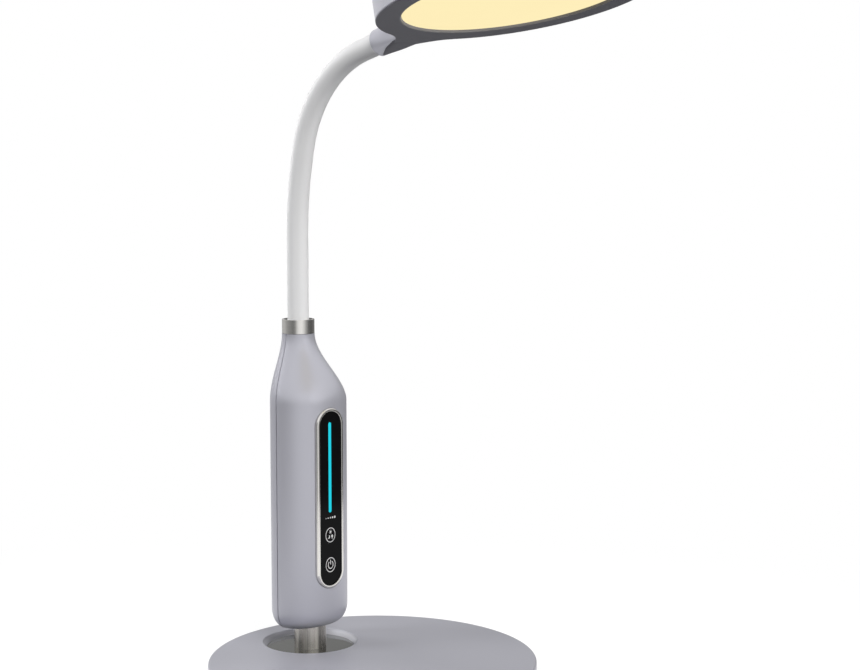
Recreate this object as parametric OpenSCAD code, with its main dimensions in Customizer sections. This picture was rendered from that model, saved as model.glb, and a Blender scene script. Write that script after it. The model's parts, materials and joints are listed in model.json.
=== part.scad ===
// LED desk lamp: weighted round base, swivelling column with a touch panel, gooseneck and disc head.
// Millimetres, +Z up, the front of the lamp faces -Y, origin at the middle of the pad on the table.

/* [Base] */
// Diameter of the round base
base_d = 180; // [160:1:220]
// Height of the base's top above the table
base_h = 20; // [18:0.5:30]
// Wall of the base cover
base_wall = 2.4; // [1.8:0.1:3]
// Rounding of the cover's top edge
base_edge_r = 0.9; // [0.5:0.1:4]
// Height of the cover's rim above the table
base_rim_gap = 1; // [0.5:0.1:1.5]
// Thickness of the foam pad that the lamp stands on
pad_t = 2; // [1.6:0.1:2.6]
// Bare margin between the pad and the cover's wall
pad_margin = 4; // [2:0.5:10]
// Thickness of the plastic floor
floor_t = 3; // [2.5:0.1:3.6]
// Radius of the inner support ring on the floor
floor_ring_r = 40; // [30:1:50]
// Thickness of the support rings
floor_ring_t = 2; // [1.5:0.1:3]
// Thickness of the steel ballast plate
ballast_t = 4.5; // [3:0.1:5.5]
// Margin between the ballast plate and the cover's wall
ballast_margin = 7.6; // [6:0.1:12]
// Distance of the base screws from the edge of the base
base_screw_inset = 24; // [20:0.5:28]
// Diameter of the bosses that take the base screws
base_boss_d = 8; // [7:0.1:9]

/* [Power socket] */
// Diameter of the socket's nose
jack_d = 8; // [7:0.1:8.6]
// Length of the socket behind its flange
jack_len = 14; // [12:0.5:15]
// Diameter of the hole that takes the plug
jack_bore_d = 6.4; // [5.5:0.1:6.6]
// Depth of that hole
jack_bore_depth = 9.5; // [8:0.1:10]
// Diameter of the contact pin
jack_pin_d = 2; // [1.3:0.1:2.5]
// Diameter of the socket's flange
jack_flange_d = 10; // [9.6:0.1:10.6]
// Thickness of that flange, which lies in a flat of the wall
jack_flange_t = 0.9; // [0.6:0.1:1.2]
// Width across the flats of the socket's nut
jack_nut_af = 10; // [9.6:0.1:10.4]
// Thickness of the socket's nut
jack_nut_t = 2.3; // [1.5:0.1:3]

/* [Swivel] */
// Diameter of the post
post_d = 18.2; // [17:0.1:20]
// Distance of the post's axis from the rear edge of the base
post_inset = 38.5; // [36:0.5:45]
// Diameter of the post's stem in the bush
stem_d = 16; // [14:0.1:16.6]
// Diameter of the wire way in the post
post_bore_d = 13; // [10:0.1:13.4]
// Radial running clearance of the stem
stem_clear = 0.05; // [0.02:0.01:0.1]
// Diameter of the recess at the top of the base
recess_d = 53.5; // [51.5:0.1:58]
// Depth of the recess down to the turntable disc
recess_depth = 3; // [2:0.1:4]
// Diameter of the turntable disc
disc_d = 49.3; // [46:0.1:50.5]
// Thickness of the turntable disc
disc_t = 1.5; // [1:0.1:2]
// Gap around and below the turntable disc
disc_gap = 0.3; // [0.2:0.05:0.5]
// Outer diameter of the bush
bush_d = 26; // [22:0.1:28]
// Diameter of the bush's flange
bush_flange_d = 34; // [31:0.1:35]
// Thickness of the bush's flange
bush_flange_t = 1; // [0.8:0.1:1.5]
// Thickness of the stop washer
washer_t = 0.8; // [0.6:0.1:1.2]
// Axial play of the swivel
swivel_play = 0.1; // [0.05:0.01:0.2]
// Width across the flats of the post's nut
post_nut_af = 21; // [19:0.5:23]
// Thickness of the post's nut
post_nut_t = 2.5; // [2:0.1:3]
// Swivel angle to each side
swivel_deg = 90; // [45:1:120]
// Radius at which the stop pins stand
stop_r = 18; // [16.5:0.1:20]
// Diameter of the stop pins
stop_pin_d = 3; // [2:0.1:4]
// Half angle of the stop lug
lug_half_deg = 9; // [6:0.5:15]

/* [Column] */
// Width of the column
col_w = 48.1; // [46:0.1:60]
// Depth of the column
col_d = 35.2; // [33.5:0.1:42]
// Wall of the two column shells
col_wall = 2.2; // [1.8:0.1:2.4]
// Height of the column's underside above the base
col_lift = 10.5; // [6:0.5:20]
// Height of the column from its underside to the collar
col_h = 165; // [158:0.1:200]
// Height of the shoulder that draws in to the neck
shoulder_h = 38; // [30:0.1:41]
// Height of the rounding at the column's underside
round_h = 10.5; // [8:0.1:12]
// Inward reach of that rounding
round_in = 7; // [4:0.1:7.4]
// Thickness of the column's bottom wall
col_floor_t = 2.5; // [2:0.1:3.5]
// Diameter of the column's throat under the collar
throat_d = 18.3; // [18:0.1:22]
// Set-back of the neck behind the column's axis
neck_back = 8.2; // [6:0.1:9]
// Gap along the parting line of the shells
part_gap = 0.15; // [0.05:0.05:0.4]
// Distance of the column screws from the middle plane
col_screw_x = 13.4; // [13.2:0.1:15]
// Height of the lower column screws above the underside
col_screw_low = 15.5; // [14.5:0.1:17]
// Distance of the upper column screws above the panel
col_screw_high = 6; // [5.5:0.1:7]
// Thickness of the rib that grips the post
grip_rib_t = 2.5; // [2:0.1:3]
// Depth of the post's groove for that rib
grip_depth = 0.8; // [0.5:0.1:1.2]
// Height of the post's end above the column's underside
post_reach = 29.5; // [24:0.5:40]

/* [Touch panel] */
// Width of the bright bezel
bezel_w = 19.7; // [18:0.1:20.4]
// Height of the bezel
bezel_h = 102.2; // [96:0.1:103]
// Width of the bezel's rim
bezel_rim = 1.75; // [1.4:0.05:2.2]
// How far the bezel stands proud of the glass
bezel_proud = 0.7; // [0.4:0.1:1.2]
// Height of the bezel's lower end above the column's underside
panel_lift = 22.8; // [21:0.1:24]
// Width of the bezel's inner flange around the opening
bezel_flange = 1.3; // [0.8:0.1:1.4]
// Thickness of that flange
bezel_flange_t = 1.5; // [1:0.1:2]
// Thickness of the black glass
glass_t = 1.5; // [1:0.1:2]
// Width of the slider's light bar
slider_w = 2.6; // [2:0.1:4]
// Length of the slider's light bar
slider_h = 50.9; // [40:0.1:60]
// Distance from the bezel's top to the slider's top
slider_drop = 8.1; // [6:0.1:14]
// Height of the mode key above the bezel's lower end
mode_key_z = 30.4; // [28:0.1:32]
// Height of the power key above the bezel's lower end
power_key_z = 13.4; // [12:0.1:16]
// Thickness of the control board
board_t = 1.2; // [0.8:0.1:1.6]

/* [Gooseneck] */
// Height of the metal collar
collar_h = 8.1; // [7.8:0.1:12]
// Diameter of the metal collar
collar_d = 18.3; // [18:0.1:22]
// Diameter of the collar's open mouth around the sleeve
collar_mouth_d = 16.2; // [15:0.1:16.8]
// Depth of that mouth
collar_mouth_depth = 3; // [1:0.1:5]
// Diameter of the soft sleeve
sleeve_d = 12; // [11.6:0.1:12.8]
// Wall of the soft sleeve
sleeve_wall = 1.05; // [0.8:0.05:1.1]
// Straight rise above the collar
neck_rise = 46.8; // [30:0.1:80]
// Radius of the first gentle sweep
sweep_r = 215; // [150:1:300]
// Angle of the first gentle sweep
sweep_deg = 13; // [8:0.5:20]
// Straight stretch between the sweep and the hook
mid_len = 2; // [1:0.1:20]
// Radius of the hook over to the head
hook_r = 68; // [62:0.5:100]
// Straight end in front of the head's socket
neck_tail = 12.2; // [4:0.1:18]
// Diameter of the core lengths inside the sleeve
core_d = 8.8; // [8.4:0.1:8.9]
// Diameter of the core's wire way
core_bore_d = 3.8; // [3.6:0.1:4]
// Diameter of the core's balls
ball_d = 8; // [7.4:0.1:8]
// Gap between a ball and its cup
ball_gap = 0.2; // [0.15:0.05:0.3]
// Height of a cup's rim above the ball's middle
cup_rise = 1.6; // [1.5:0.1:2]
// Depth of a ball's shoulder below its middle
ball_drop = 0.9; // [0.8:0.1:1.2]
// Height of the first joint above the collar
first_joint = 10; // [8:0.5:14]
// Diameter of the pair of wires
wire_d = 2.4; // [1.6:0.1:2.5]

/* [Head] */
// Diameter of the disc head
head_d = 140; // [130:1:180]
// Thickness of the head
head_t = 15.5; // [14.5:0.1:20]
// Rounding of the head's top edge
head_edge_r = 4.5; // [2:0.1:5]
// Wall of the head's housing
head_wall = 2.2; // [1.8:0.1:2.6]
// Upward tilt of the head towards the front
head_tilt = 12; // [0:0.5:20]
// Thickness of the bottom cover's outer lip
cover_lip_t = 0.8; // [0.6:0.1:1.2]
// Width of the flat ring around the bottom cover's cone
cover_land = 5; // [3:0.1:5.6]
// Diameter of the lit opening
light_d = 114; // [100:0.5:114]
// Rise of the bottom cover's cone to the lit opening
cover_rise = 1; // [0.5:0.1:1.4]
// Thickness of the cover at the edge of the opening
opening_lip_t = 0.6; // [0.4:0.1:0.8]
// Width of the ledge that holds the diffuser
ledge_w = 4; // [2:0.1:4]
// Thickness of the diffuser
diffuser_t = 2; // [1.5:0.1:3]
// Thickness of the LED board
led_board_t = 1.5; // [1:0.1:2]
// Diameter of the LED board
led_board_d = 112; // [110:0.5:113]
// Height of the posts that space the LED board from the top
led_post_h = 2.8; // [2:0.1:3.5]

/* [Head neck] */
// Length of the head's neck behind the disc
neck_len = 27.5; // [26:0.1:36]
// Height of the neck's axis above the underside, at its mouth
neck_axis_h = 5.2; // [5:0.1:6]
// Droop of the neck's axis away from the disc
neck_droop = 3; // [0:0.5:4]
// Diameter of the neck's round socket
socket_d = 14.6; // [14:0.1:16]
// Depth of the sleeve's end in the socket
socket_depth = 6; // [5:0.1:7]
// Radius of the fillets between neck and disc
neck_fillet_r = 20; // [12:0.5:24]
// Half width of the neck where the fillets end
neck_half_w = 9; // [8:0.1:10]
// Height of the web that carries the fillets
neck_web_h = 10; // [9:0.1:12]
// Length of the cover's flat tail under the neck
tail_len = 9; // [8:0.1:10]
// Slope of the cover's tongue, which runs on from the tail to the mouth
neck_slope = 9.5; // [9:0.5:10.5]
// Length of the ferrule in the neck, behind the sleeve
ferrule_len = 9; // [6:0.1:9]

/* [Fasteners] */
// Diameter of the screws' shanks
screw_d = 2.9; // [2.5:0.1:3]
// Diameter of the screws' heads
screw_head_d = 5.6; // [5:0.1:5.8]
// Height of the screws' heads
screw_head_h = 1.7; // [1.2:0.1:1.9]

/* [Hidden] */
$fn = 64;
// Clearance between parts that are fitted together and don't move
fit_gap = 0.1;
// Overreach of a cutting shape past the face that it cuts
cut = 0.2;
// How far a boss or rib reaches into the wall that carries it
bite = 0.2;

base_r = base_d / 2;
cover_in_r = base_r - base_wall;
cover_under_z = base_h - base_wall;
floor_top = pad_t + floor_t;
post_y = base_r - post_inset;
disc_top = base_h - recess_depth;
disc_z0 = disc_top - disc_t;
ballast_top = disc_z0 - disc_gap - bush_flange_t;
ballast_z0 = ballast_top - ballast_t;
washer_z0 = ballast_z0 - swivel_play - washer_t;
nut_z0 = washer_z0 - post_nut_t;
base_screw_r = base_r - base_screw_inset;
base_screw_count = 4;
ballast_r = cover_in_r - ballast_margin;
outer_ring_r = ballast_r - 3 * floor_ring_t;
// Room around the bosses in the ballast plate
boss_room = 0.5;
// Solid end of a screw boss beyond its hole, and of the hole beyond the screw
boss_end = 1;
screw_end = 1.5;
nut_corner_r = post_nut_af / 2 / cos(30);
// Hole in the floor through which the post's nut and the wires are reached
access_r = nut_corner_r + 6;
swivel_room_r = stop_r + stop_pin_d + 3;
skirt_t = 2.5;
washer_r = stem_d / 2 + 3.5;
lug_r = stop_r + stop_pin_d / 2;
// Angle left between the stop lug and a stop pin at the end of the travel
stop_slack = 0.5;
stop_deg = swivel_deg + lug_half_deg + asin(stop_pin_d / 2 / stop_r) + stop_slack;
// Length of the stop pins and of the stem's thread past the parts they hold
pin_reach = 0.5;
jack_z = (floor_top + cover_under_z) / 2;
jack_face_y = base_r - jack_flange_t;
jack_nut_corner_r = jack_nut_af / 2 / cos(30);
jack_room_w = 2 * jack_nut_corner_r + 2;

col_z0 = base_h + col_lift;
col_z1 = col_z0 + col_h;
shoulder_z = col_z1 - shoulder_h;
post_hole_r = post_d / 2 + fit_gap;
neck_y = post_y + neck_back;
grip_z = col_z0 + col_screw_low;
grip_r = post_d / 2 - grip_depth;
part_steps = 20;
shoulder_steps = 14;
// The set-back of the shoulder runs ahead of its narrowing by this power
set_back_lead = 0.88;
boss_inset = 2;
// Distance of the shells' ribs from the parting plane
rib_back = 0.5;
col_boss_r = 2.8;
head_well_r = screw_head_d / 2 + fit_gap;
well_boss_r = head_well_r + 1.4;
screw_seat = 8;
panel_y = post_y - col_d / 2;
panel_z = col_z0 + panel_lift + bezel_h / 2;
opening_w = bezel_w + 2 * fit_gap;
opening_h = bezel_h + 2 * fit_gap;
glass_w = bezel_w - 2 * bezel_rim - 2 * fit_gap;
glass_h = bezel_h - 2 * bezel_rim - 2 * fit_gap;
flange_w = opening_w + 2 * bezel_flange;
flange_h = opening_h + 2 * bezel_flange;
// Depth of the shell's inner face behind the glass, at the side of the bezel's flange
flange_depth = col_d / 2 - ellipse_y(col_w / 2 - col_wall, col_d / 2 - col_wall, flange_w / 2) + fit_gap;
board_depth = flange_depth + bezel_flange_t;
slider_y = bezel_h / 2 - slider_drop - slider_h / 2;
slider_led_w = 1.6;
slider_led_len = 3;
slider_led_h = 0.6;
slider_led_count = 8;
// Width of the light guide's foot on each side of the lit bar
guide_foot_w = 1;
spring_d = 7;
spring_wall = 0.6;
board_back_y = panel_y + board_depth + board_t;
board_top_z = panel_z + flange_h / 2;
// Distance of the neck wires' joint below the board's top edge
wire_land = 11;
// Room between the power wires and the end of the stem, and between them and the socket
wire_room = 1.3;
wire_clear = 0.3;
col_screw_z = [col_z0 + col_screw_low, panel_z + bezel_h / 2 + col_screw_high];

collar_top = col_z1 + collar_h;
spigot_r = throat_d / 2 - col_wall - fit_gap;
spigot_len = 11.2;
throat_rib_t = 2;
throat_rib_z = col_z1 - 8.7;
throat_groove_r = spigot_r - 0.9;
sleeve_r = sleeve_d / 2;
sleeve_bore_r = sleeve_r - sleeve_wall;
sleeve_gap = 0.25;
sleeve_seat = 6.8;
core_r = core_d / 2;
root_flange_t = 2.4;
root_flange_r = core_r + 1.8;
core_turns = 4;
// How much the neck under a ball is narrower than the ball, on each side
ball_neck_in = 1;
turn_groove_w = 0.8;
turn_groove_depth = 0.5;
joint_count = 12;
hook_end_deg = 90 - head_tilt - neck_droop;
sweep_len = sweep_r * sweep_deg * PI / 180;
hook_len = hook_r * (hook_end_deg - sweep_deg) * PI / 180;
sweep_end = neck_rise + sweep_len;
hook_start = sweep_end + mid_len;
arc_end = hook_start + hook_len;
sweep_centre = [neck_y - sweep_r, collar_top + neck_rise];
hook_centre = sweep_centre + (sweep_r - hook_r) * [cos(sweep_deg), sin(sweep_deg)]
    + mid_len * [-sin(sweep_deg), cos(sweep_deg)];
joint_pitch = (arc_end - first_joint) / (joint_count - 1);

head_r = head_d / 2;
mouth = neck_point(arc_end + neck_tail);
neck_mouth_y = head_r + neck_len;
head_at = [0,
           mouth[0] - neck_mouth_y * cos(head_tilt) - neck_axis_h * sin(head_tilt),
           mouth[1] + neck_mouth_y * sin(head_tilt) - neck_axis_h * cos(head_tilt)];
light_r = light_d / 2;
ledge_z = cover_rise + opening_lip_t;
diffuser_r = light_r + ledge_w;
cover_rim_r = head_r - head_wall - fit_gap;
cover_rim_t = 1.5;
cover_plate_z = ledge_z + 0.6;
cover_rim_z = cover_plate_z + 1.2;
housing_z0 = cover_lip_t + fit_gap / 2;
led_board_z = head_t - head_wall - led_post_h - led_board_t;
clamp_post_d = 4;
clamp_post_count = 6;
// The LEDs stand in rings a step apart, with the same number more in each ring outwards
led_ring_first = 18;
led_ring_step = 16;
led_ring_count = 3;
leds_per_ring = 8;
led_w = 3.5;
led_len = 2.8;
led_h = 0.8;
led_screw_r = 26;
led_screw_count = 3;
led_post_d = 7;
web_centre_x = neck_half_w + neck_fillet_r;
web_centre_y = sqrt(pow(head_r + neck_fillet_r, 2) - pow(web_centre_x, 2));
tail_end_y = head_r + tail_len;
tail_half_w = web_centre_x - sqrt(pow(neck_fillet_r, 2) - pow(max(0, web_centre_y - tail_end_y), 2));
// End of the cover's tongue in front of the mouth, and its thickness and half width there
tongue_back = 1.7;
tongue_tip_t = 0.3;
tongue_tip_w = 1.2;
wire_way_r = core_bore_d / 2;
// Size of the wires' connector under the LED board, and its gap to the diffuser
clip_w = 8;
clip_len = 6;
clip_gap = 0.5;
wire_clip_y = led_board_d / 2 - 0.5;

shell_colour = "#aeaeb6";
under_colour = "#57565b";
metal_colour = "#c9c8c6";
steel_colour = "#8d9094";
board_colour = "#2f6b45";
brass_colour = "#c8a24a";

neck_nodes = [for (k = [1:joint_count - 1]) str("neck_link_", k)];

// Curves and sections

function ellipse_y(a, b, x) = b * sqrt(max(0, 1 - x * x / (a * a)));

function ease(t) = t * t * (3 - 2 * t);

function mix(a, b, f) = a + (b - a) * f;

// Section of the column at height z, drawn in by inset: half width, half depth and set-back
function shoulder_rise(z) = min(1, max(0, (z - shoulder_z) / shoulder_h));

function foot_inset(z) =
    z >= col_z0 + round_h ? 0 : round_in * (1 - sqrt(1 - pow(1 - (z - col_z0) / round_h, 2)));

function col_section(z, inset) =
    let (t = shoulder_rise(z), f = ease(t), d = foot_inset(z) + inset)
    [mix(col_w, throat_d, f) / 2 - d, mix(col_d, throat_d, f) / 2 - d, neck_back * ease(pow(t, set_back_lead))];

// Heights of the rings of the column: foot up to the bottom wall, rest of the foot, shoulder
floor_deg = acos(1 - col_floor_t / round_h);
foot_steps = 3;
col_levels = concat(
    [for (i = [0:foot_steps]) col_z0 + round_h * (1 - cos(floor_deg * i / foot_steps))],
    [for (i = [1:foot_steps]) col_z0 + round_h * (1 - cos(mix(floor_deg, 90, i / foot_steps)))],
    [for (i = [0:shoulder_steps]) shoulder_z + shoulder_h * i / shoulder_steps]);
level_count = len(col_levels);

function half_ring(section, z, side) =
    [for (j = [0:part_steps])
        let (a = (side > 0 ? 0 : 180) + 180 * j / part_steps)
        [section[0] * cos(a), post_y + section[2] + side * part_gap / 2 + section[1] * sin(a), z]];

function half_outline(a, b, side) =
    [for (j = [0:part_steps])
        let (t = (side > 0 ? 0 : 180) + 180 * j / part_steps)
        [a * cos(t), side * part_gap / 2 + b * sin(t)]];

// Centre line of the gooseneck, as [y, z] at the length s above the collar
function on_arc(centre, r, a) = centre + r * [cos(a), sin(a)];

function ahead(a, d) = d * [-sin(a), cos(a)];

function neck_point(s) =
    s <= neck_rise ? [neck_y, collar_top + s] :
    s <= sweep_end ? on_arc(sweep_centre, sweep_r, (s - neck_rise) / sweep_r * 180 / PI) :
    s <= hook_start ? on_arc(sweep_centre, sweep_r, sweep_deg) + ahead(sweep_deg, s - sweep_end) :
    s <= arc_end ? on_arc(hook_centre, hook_r, sweep_deg + (s - hook_start) / hook_r * 180 / PI) :
    on_arc(hook_centre, hook_r, hook_end_deg) + ahead(hook_end_deg, s - arc_end);

function joint_point(k) = neck_point(first_joint + k * joint_pitch);

function link_length(k) = norm(joint_point(k) - joint_point(k - 1));

function link_lean(k) =
    let (d = joint_point(k) - joint_point(k - 1))
    atan2(-d[0], d[1]);

// Shared shapes

module at_post() {
    translate([0, post_y, 0]) children();
}

module at_base_screws() {
    for (i = [0:base_screw_count - 1])
        rotate([0, 0, 360 / base_screw_count * (i + 0.5)]) translate([base_screw_r, 0, 0]) children();
}

module at_col_screws() {
    for (z = col_screw_z, x = [-col_screw_x, col_screw_x])
        translate([x, post_y, z]) rotate([-90, 0, 0]) children();
}

module on_panel() {
    translate([0, panel_y, panel_z]) rotate([90, 0, 0]) children();
}

module in_head() {
    translate(head_at) rotate([-head_tilt, 0, 0]) children();
}

module along_neck() {
    translate([0, neck_mouth_y, neck_axis_h]) rotate([90 - neck_droop, 0, 0]) children();
}

module round_top(r, h, edge) {
    square([r, h - edge]);
    square([r - edge, h]);
    translate([r - edge, h - edge]) circle(r = edge);
}

module stadium(w, h) {
    square([w, h - w], center = true);
    for (s = [-1, 1]) translate([0, s * (h - w) / 2]) circle(d = w);
}

// A ring of one profile around a stadium: straight sides and half-round ends
module stadium_ring(w, h) {
    run = h - w;
    for (s = [0, 180]) {
        rotate([0, 0, s]) translate([0, run / 2, 0]) rotate_extrude(angle = 180) children();
        rotate([0, 0, s]) translate([0, run / 2, 0]) rotate([90, 0, 0]) linear_extrude(run) children();
    }
}

module screw(shank) {
    translate([0, 0, -screw_head_h]) cylinder(d = screw_head_d, h = screw_head_h);
    translate([0, 0, -bite]) cylinder(d = screw_d, h = shank + bite);
}

// Rings of sides points around the line through points [y, z] of the middle plane
function across_line(p, i) =
    let (d = p[min(i + 1, len(p) - 1)] - p[max(i - 1, 0)])
    [-d[1], d[0]] / norm(d);

function line_rings(p, r, sides) =
    [for (i = [0:len(p) - 1])
        let (n = across_line(p, i) * r)
        [for (j = [0:sides - 1])
            let (a = 360 * j / sides)
            [r * cos(a), p[i][0] + n[0] * sin(a), p[i][1] + n[1] * sin(a)]]];

function ring_walls(from, to, sides) =
    [for (j = [0:sides - 1])
        let (k = (j + 1) % sides, a = from * sides, b = to * sides)
        each [[a + j, b + j, a + k], [a + k, b + j, b + k]]];

// An eight-sided cable
module cable(p, d) {
    sides = 8;
    rings = line_rings(p, d / 2, sides);
    top = len(rings) - 1;
    walls = [for (i = [0:top - 1]) each ring_walls(i, i + 1, sides)];
    ends = [[for (j = [0:sides - 1]) j], [for (j = [sides - 1:-1:0]) top * sides + j]];
    polyhedron([for (r = rings) each r], concat(walls, ends));
}

// A hollow hose: up along the outside and back down the bore
module hose(p, r, bore_r) {
    sides = 20;
    bore = line_rings(p, bore_r, sides);
    rings = concat(line_rings(p, r, sides), [for (i = [len(bore) - 1:-1:0]) bore[i]]);
    count = len(rings);
    walls = [for (i = [0:count - 1]) each ring_walls(i, (i + 1) % count, sides)];
    polyhedron([for (r = rings) each r], walls);
}

// Half of the column's shell, side -1 in front and 1 behind, closed at the foot around the post
module half_shell(side) {
    outer = [for (z = col_levels) half_ring(col_section(z, 0), z, side)];
    inner = [for (i = [level_count - 1:-1:foot_steps])
        half_ring(col_section(col_levels[i], col_wall), col_levels[i], side)];
    hole = [for (i = [foot_steps:-1:0])
        half_ring([post_hole_r, post_hole_r, 0], col_levels[i], side)];
    rings = concat(outer, inner, hole);
    ring_count = len(rings);
    across = part_steps + 1;
    top = level_count - 1;
    // Position in rings of the inner ring and of the hole's ring at a level
    function inner_at(i) = 2 * top + 1 - i;
    function hole_at(i) = ring_count - 1 - i;
    walls = [for (m = [0:ring_count - 1], j = [0:part_steps - 1])
        let (a = m * across + j, b = ((m + 1) % ring_count) * across + j)
        each [[a, b, a + 1], [a + 1, b, b + 1]]];
    seams = [for (e = [0, part_steps])
        let (strips = concat(
            [for (i = [foot_steps:top - 1]) [i, i + 1, inner_at(i + 1), inner_at(i)]],
            [for (i = [0:foot_steps - 2]) [i, i + 1, hole_at(i + 1), hole_at(i)]],
            [[foot_steps - 1, foot_steps, inner_at(foot_steps),
              hole_at(foot_steps), hole_at(foot_steps - 1)]]))
        each [for (f = strips)
            let (v = [for (m = f) m * across + e])
            e == 0 ? [for (n = [len(v) - 1:-1:0]) v[n]] : v]];
    polyhedron([for (r = rings) each r], concat(walls, seams));
}

// A rib or boss of half a column shell is trimmed to the shell's inner face
module half_core(side, z, h, back) {
    s = col_section(z, boss_inset);
    translate([0, post_y + s[2] + side * back, z]) linear_extrude(h)
        polygon(half_outline(s[0], s[1], side));
}

module col_bosses(side, r) {
    for (z = col_screw_z) {
        low = z - r - cut;
        intersection() {
            half_core(side, max(low, col_z0 + col_floor_t), 2 * (r + cut), 0);
            for (x = [-col_screw_x, col_screw_x])
                translate([x, post_y, z]) rotate([-90, 0, 0]) cylinder(r = r, h = col_d, center = true);
        }
    }
}

module col_ribs(side) {
    difference() {
        half_core(side, grip_z - grip_rib_t / 2, grip_rib_t, rib_back);
        at_post() translate([0, 0, grip_z - grip_rib_t]) cylinder(r = grip_r + fit_gap, h = 2 * grip_rib_t);
    }
    difference() {
        half_core(side, throat_rib_z, throat_rib_t, rib_back);
        translate([0, neck_y, throat_rib_z - cut])
            cylinder(r = throat_groove_r + fit_gap, h = throat_rib_t + 2 * cut);
    }
}

// Base

module base_cover() color(shell_colour) difference() {
    union() {
        difference() {
            translate([0, 0, base_rim_gap])
                rotate_extrude() round_top(base_r, base_h - base_rim_gap, base_edge_r);
            translate([0, 0, base_rim_gap - cut])
                cylinder(r = cover_in_r, h = cover_under_z - base_rim_gap + cut);
        }
        at_base_screws() translate([0, 0, floor_top])
            cylinder(d = base_boss_d, h = cover_under_z - floor_top + bite);
        at_post() translate([0, 0, disc_z0])
            cylinder(r = disc_d / 2 + disc_gap + skirt_t, h = cover_under_z - disc_z0 + bite);
    }
    at_post() {
        translate([0, 0, disc_z0 - cut]) cylinder(r = disc_d / 2 + disc_gap, h = base_h);
        translate([0, 0, disc_top])
            cylinder(r1 = disc_d / 2 + disc_gap, r2 = recess_d / 2, h = recess_depth);
    }
    at_base_screws() translate([0, 0, floor_top - cut])
        cylinder(d = screw_d + 2 * fit_gap, h = cover_under_z - floor_top - boss_end);
    translate([-jack_flange_d / 2 - fit_gap, jack_face_y - fit_gap, jack_z - jack_flange_d / 2 - fit_gap])
        cube([jack_flange_d + 2 * fit_gap, base_d, jack_flange_d + 2 * fit_gap]);
    translate([0, base_r + cut, jack_z]) rotate([90, 0, 0])
        cylinder(d = jack_d + 2 * fit_gap, h = 2 * base_wall + cut);
}

module base_floor() color(under_colour) difference() {
    union() {
        translate([0, 0, pad_t]) cylinder(r = cover_in_r - fit_gap, h = floor_t);
        for (r = [floor_ring_r, outer_ring_r])
            difference() {
                translate([0, 0, pad_t]) cylinder(r = r, h = ballast_z0 - pad_t);
                translate([0, 0, floor_top]) cylinder(r = r - floor_ring_t, h = ballast_z0);
                at_post() translate([0, 0, floor_top]) cylinder(r = swivel_room_r, h = ballast_z0);
                translate([-jack_room_w / 2, 0, floor_top]) cube([jack_room_w, base_d, base_h]);
            }
    }
    at_post() cylinder(r = access_r, h = base_h);
    at_base_screws() {
        cylinder(d = screw_d + 4 * fit_gap, h = base_h);
        cylinder(d = screw_head_d + 4 * fit_gap, h = pad_t + screw_head_h);
    }
}

module base_pad() color("#2b2b2d") cylinder(r = cover_in_r - pad_margin, h = pad_t);

module ballast_plate() color(steel_colour) difference() {
    translate([0, 0, ballast_z0]) cylinder(r = ballast_r, h = ballast_t);
    translate([0, 0, ballast_z0 - cut]) {
        at_post() cylinder(r = bush_d / 2 + fit_gap, h = base_h);
        at_base_screws() cylinder(r = base_boss_d / 2 + boss_room, h = base_h);
        at_stop_pins() cylinder(r = stop_pin_d / 2 + fit_gap / 2, h = base_h);
        translate([-jack_room_w / 2, post_y + bush_flange_d / 2 + 1, 0]) cube([jack_room_w, base_d, base_h]);
    }
}

module base_screws() color(steel_colour) at_base_screws()
    translate([0, 0, pad_t + screw_head_h])
        screw(cover_under_z - pad_t - screw_head_h - boss_end - screw_end);

module at_jack() {
    translate([0, jack_face_y, jack_z]) rotate([90, 0, 0]) children();
}

module power_jack() color("#1d1d1f") at_jack() difference() {
    union() {
        translate([0, 0, -jack_flange_t + fit_gap]) cylinder(d = jack_flange_d, h = jack_flange_t - fit_gap);
        cylinder(d = jack_d, h = jack_len);
    }
    translate([0, 0, -jack_flange_t]) cylinder(d = jack_bore_d, h = jack_bore_depth + jack_flange_t);
    cylinder(d = jack_pin_d + 2 * fit_gap, h = jack_len - 1);
}

module jack_nut() color(metal_colour)
    translate([0, ellipse_y(cover_in_r, cover_in_r, jack_nut_corner_r) - fit_gap, jack_z]) rotate([90, 0, 0])
        difference() {
            cylinder(r = jack_nut_corner_r, h = jack_nut_t, $fn = 6);
            translate([0, 0, -cut]) cylinder(d = jack_d + 2 * fit_gap, h = jack_nut_t + 2 * cut);
        }

module jack_pin() color(brass_colour) at_jack() cylinder(d = jack_pin_d, h = jack_len - 1);

// Swivel

module at_stop_pins() {
    at_post() for (s = [-1, 1]) rotate([0, 0, -90 + s * stop_deg]) translate([stop_r, 0, 0]) children();
}

module swivel_bush() color("#e4e2da") at_post() difference() {
    union() {
        translate([0, 0, ballast_z0]) cylinder(d = bush_d, h = ballast_t + bite);
        translate([0, 0, ballast_top]) cylinder(d = bush_flange_d, h = bush_flange_t);
    }
    translate([0, 0, ballast_z0 - cut]) cylinder(d = stem_d + 2 * stem_clear, h = base_h);
}

module stop_pins() color(steel_colour) at_stop_pins()
    translate([0, 0, washer_z0 - pin_reach])
        cylinder(d = stop_pin_d, h = ballast_top - washer_z0 + pin_reach);

module turntable_disc() color("#6b6d6a") at_post() difference() {
    translate([0, 0, disc_z0]) cylinder(d = disc_d, h = disc_t);
    translate([0, 0, disc_z0 - cut]) cylinder(d = stem_d + fit_gap, h = disc_t + 2 * cut);
}

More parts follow.
